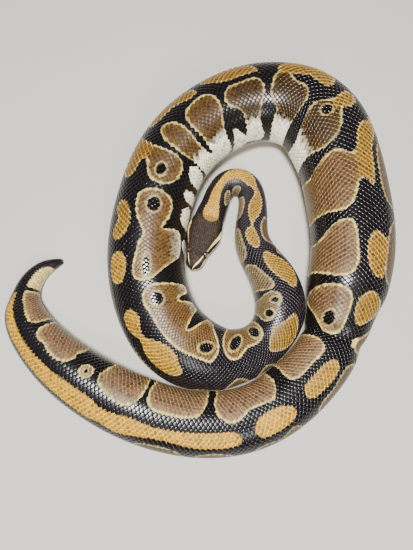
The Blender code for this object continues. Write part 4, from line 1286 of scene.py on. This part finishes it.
# Eye: a brown iris with fine threads, darker at its edge, under a wet, clear, hard cover.
eye_finish, tree, shader = plain_material("snake_eye")
slit_at = node(tree, "ShaderNodeAttribute", {"attribute_name": "slit"})
iris_at = node(tree, "ShaderNodeAttribute", {"attribute_name": "iris"})
where = node(tree, "ShaderNodeTexCoord")
threads = node(tree, "ShaderNodeTexNoise", Vector=where.outputs["Object"], Scale=2.6 * PER_MM,
               Detail=4.0)
ramp = node(tree, "ShaderNodeValToRGB", Fac=threads.outputs["Fac"])
for stop, position, tone in zip(ramp.color_ramp.elements, (0.35, 0.68), ("#2a1a10", "#7a5526")):
    stop.position, stop.color = position, (*linear(tone), 1)
outer = node(tree, "ShaderNodeMapRange", {"interpolation_type": "SMOOTHSTEP"},
             Value=iris_at.outputs["Fac"], From_Min=1.75, From_Max=2.35)
ringed = node(tree, "ShaderNodeMix", {"data_type": "RGBA"}, n0=outer.outputs["Result"],
              n6=ramp.outputs["Color"], n7=(*linear("#0d0908"), 1))
pupil = node(tree, "ShaderNodeMapRange", {"interpolation_type": "SMOOTHSTEP"},
             Value=slit_at.outputs["Fac"], From_Min=0.9, From_Max=1.12)
seen = node(tree, "ShaderNodeMix", {"data_type": "RGBA"}, n0=pupil.outputs["Result"],
            n6=(*linear("#050404"), 1), n7=ringed.outputs[2])
wire(tree, shader, Base_Color=seen.outputs[2], Roughness=0.2, Coat_Weight=1.0, Coat_Roughness=0.03)


def eye_ball(name, at, side):
    """An eye at its place, looking out, a little ahead and up, its front slightly pointed."""
    ahead = np.append(heading[int((LENGTH_MM - EYE_BACK_MM) * 2)], 0.0)
    up = np.array([0, 0, 1.0])
    look = np.cross(up, ahead) * side * LOOK_OUT + ahead * LOOK_AHEAD + up * LOOK_UP
    look /= np.linalg.norm(look)
    up = up - look * (up @ look)
    up /= np.linalg.norm(up)
    across = np.cross(up, look)
    radius = EYE_RADIUS_MM / 1000
    bm = bmesh.new()
    bmesh.ops.create_uvsphere(bm, u_segments=56, v_segments=40, radius=radius)
    local = np.array([v.co[:] for v in bm.verts])
    for v, c in zip(bm.verts, local):
        pointed = 1 + POINTED * max(c[2] / radius, 0) ** 6
        v.co = at + (across * c[0] + up * c[1] + look * c[2]) * pointed
    mesh = bpy.data.meshes.new(name)
    bm.to_mesh(mesh)
    bm.free()
    mesh.shade_smooth()
    face_out(mesh)
    x, y, z = local.T * 1000
    give_colours(mesh, slit=np.where(z > 0, np.hypot(x / SLIT_HALF_MM, y / SLIT_TALL_MM), BEHIND),
                 iris=np.where(z > 0, np.hypot(x, y), BEHIND))
    return piece(name, mesh, eye_finish)


for side, node_name, at in ((1, "eye_left", eyes[0]), (-1, "eye_right", eyes[1])):
    ball = eye_ball(node_name + "_ball", at, side)
    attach(ball, "root")
    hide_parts(node_name)
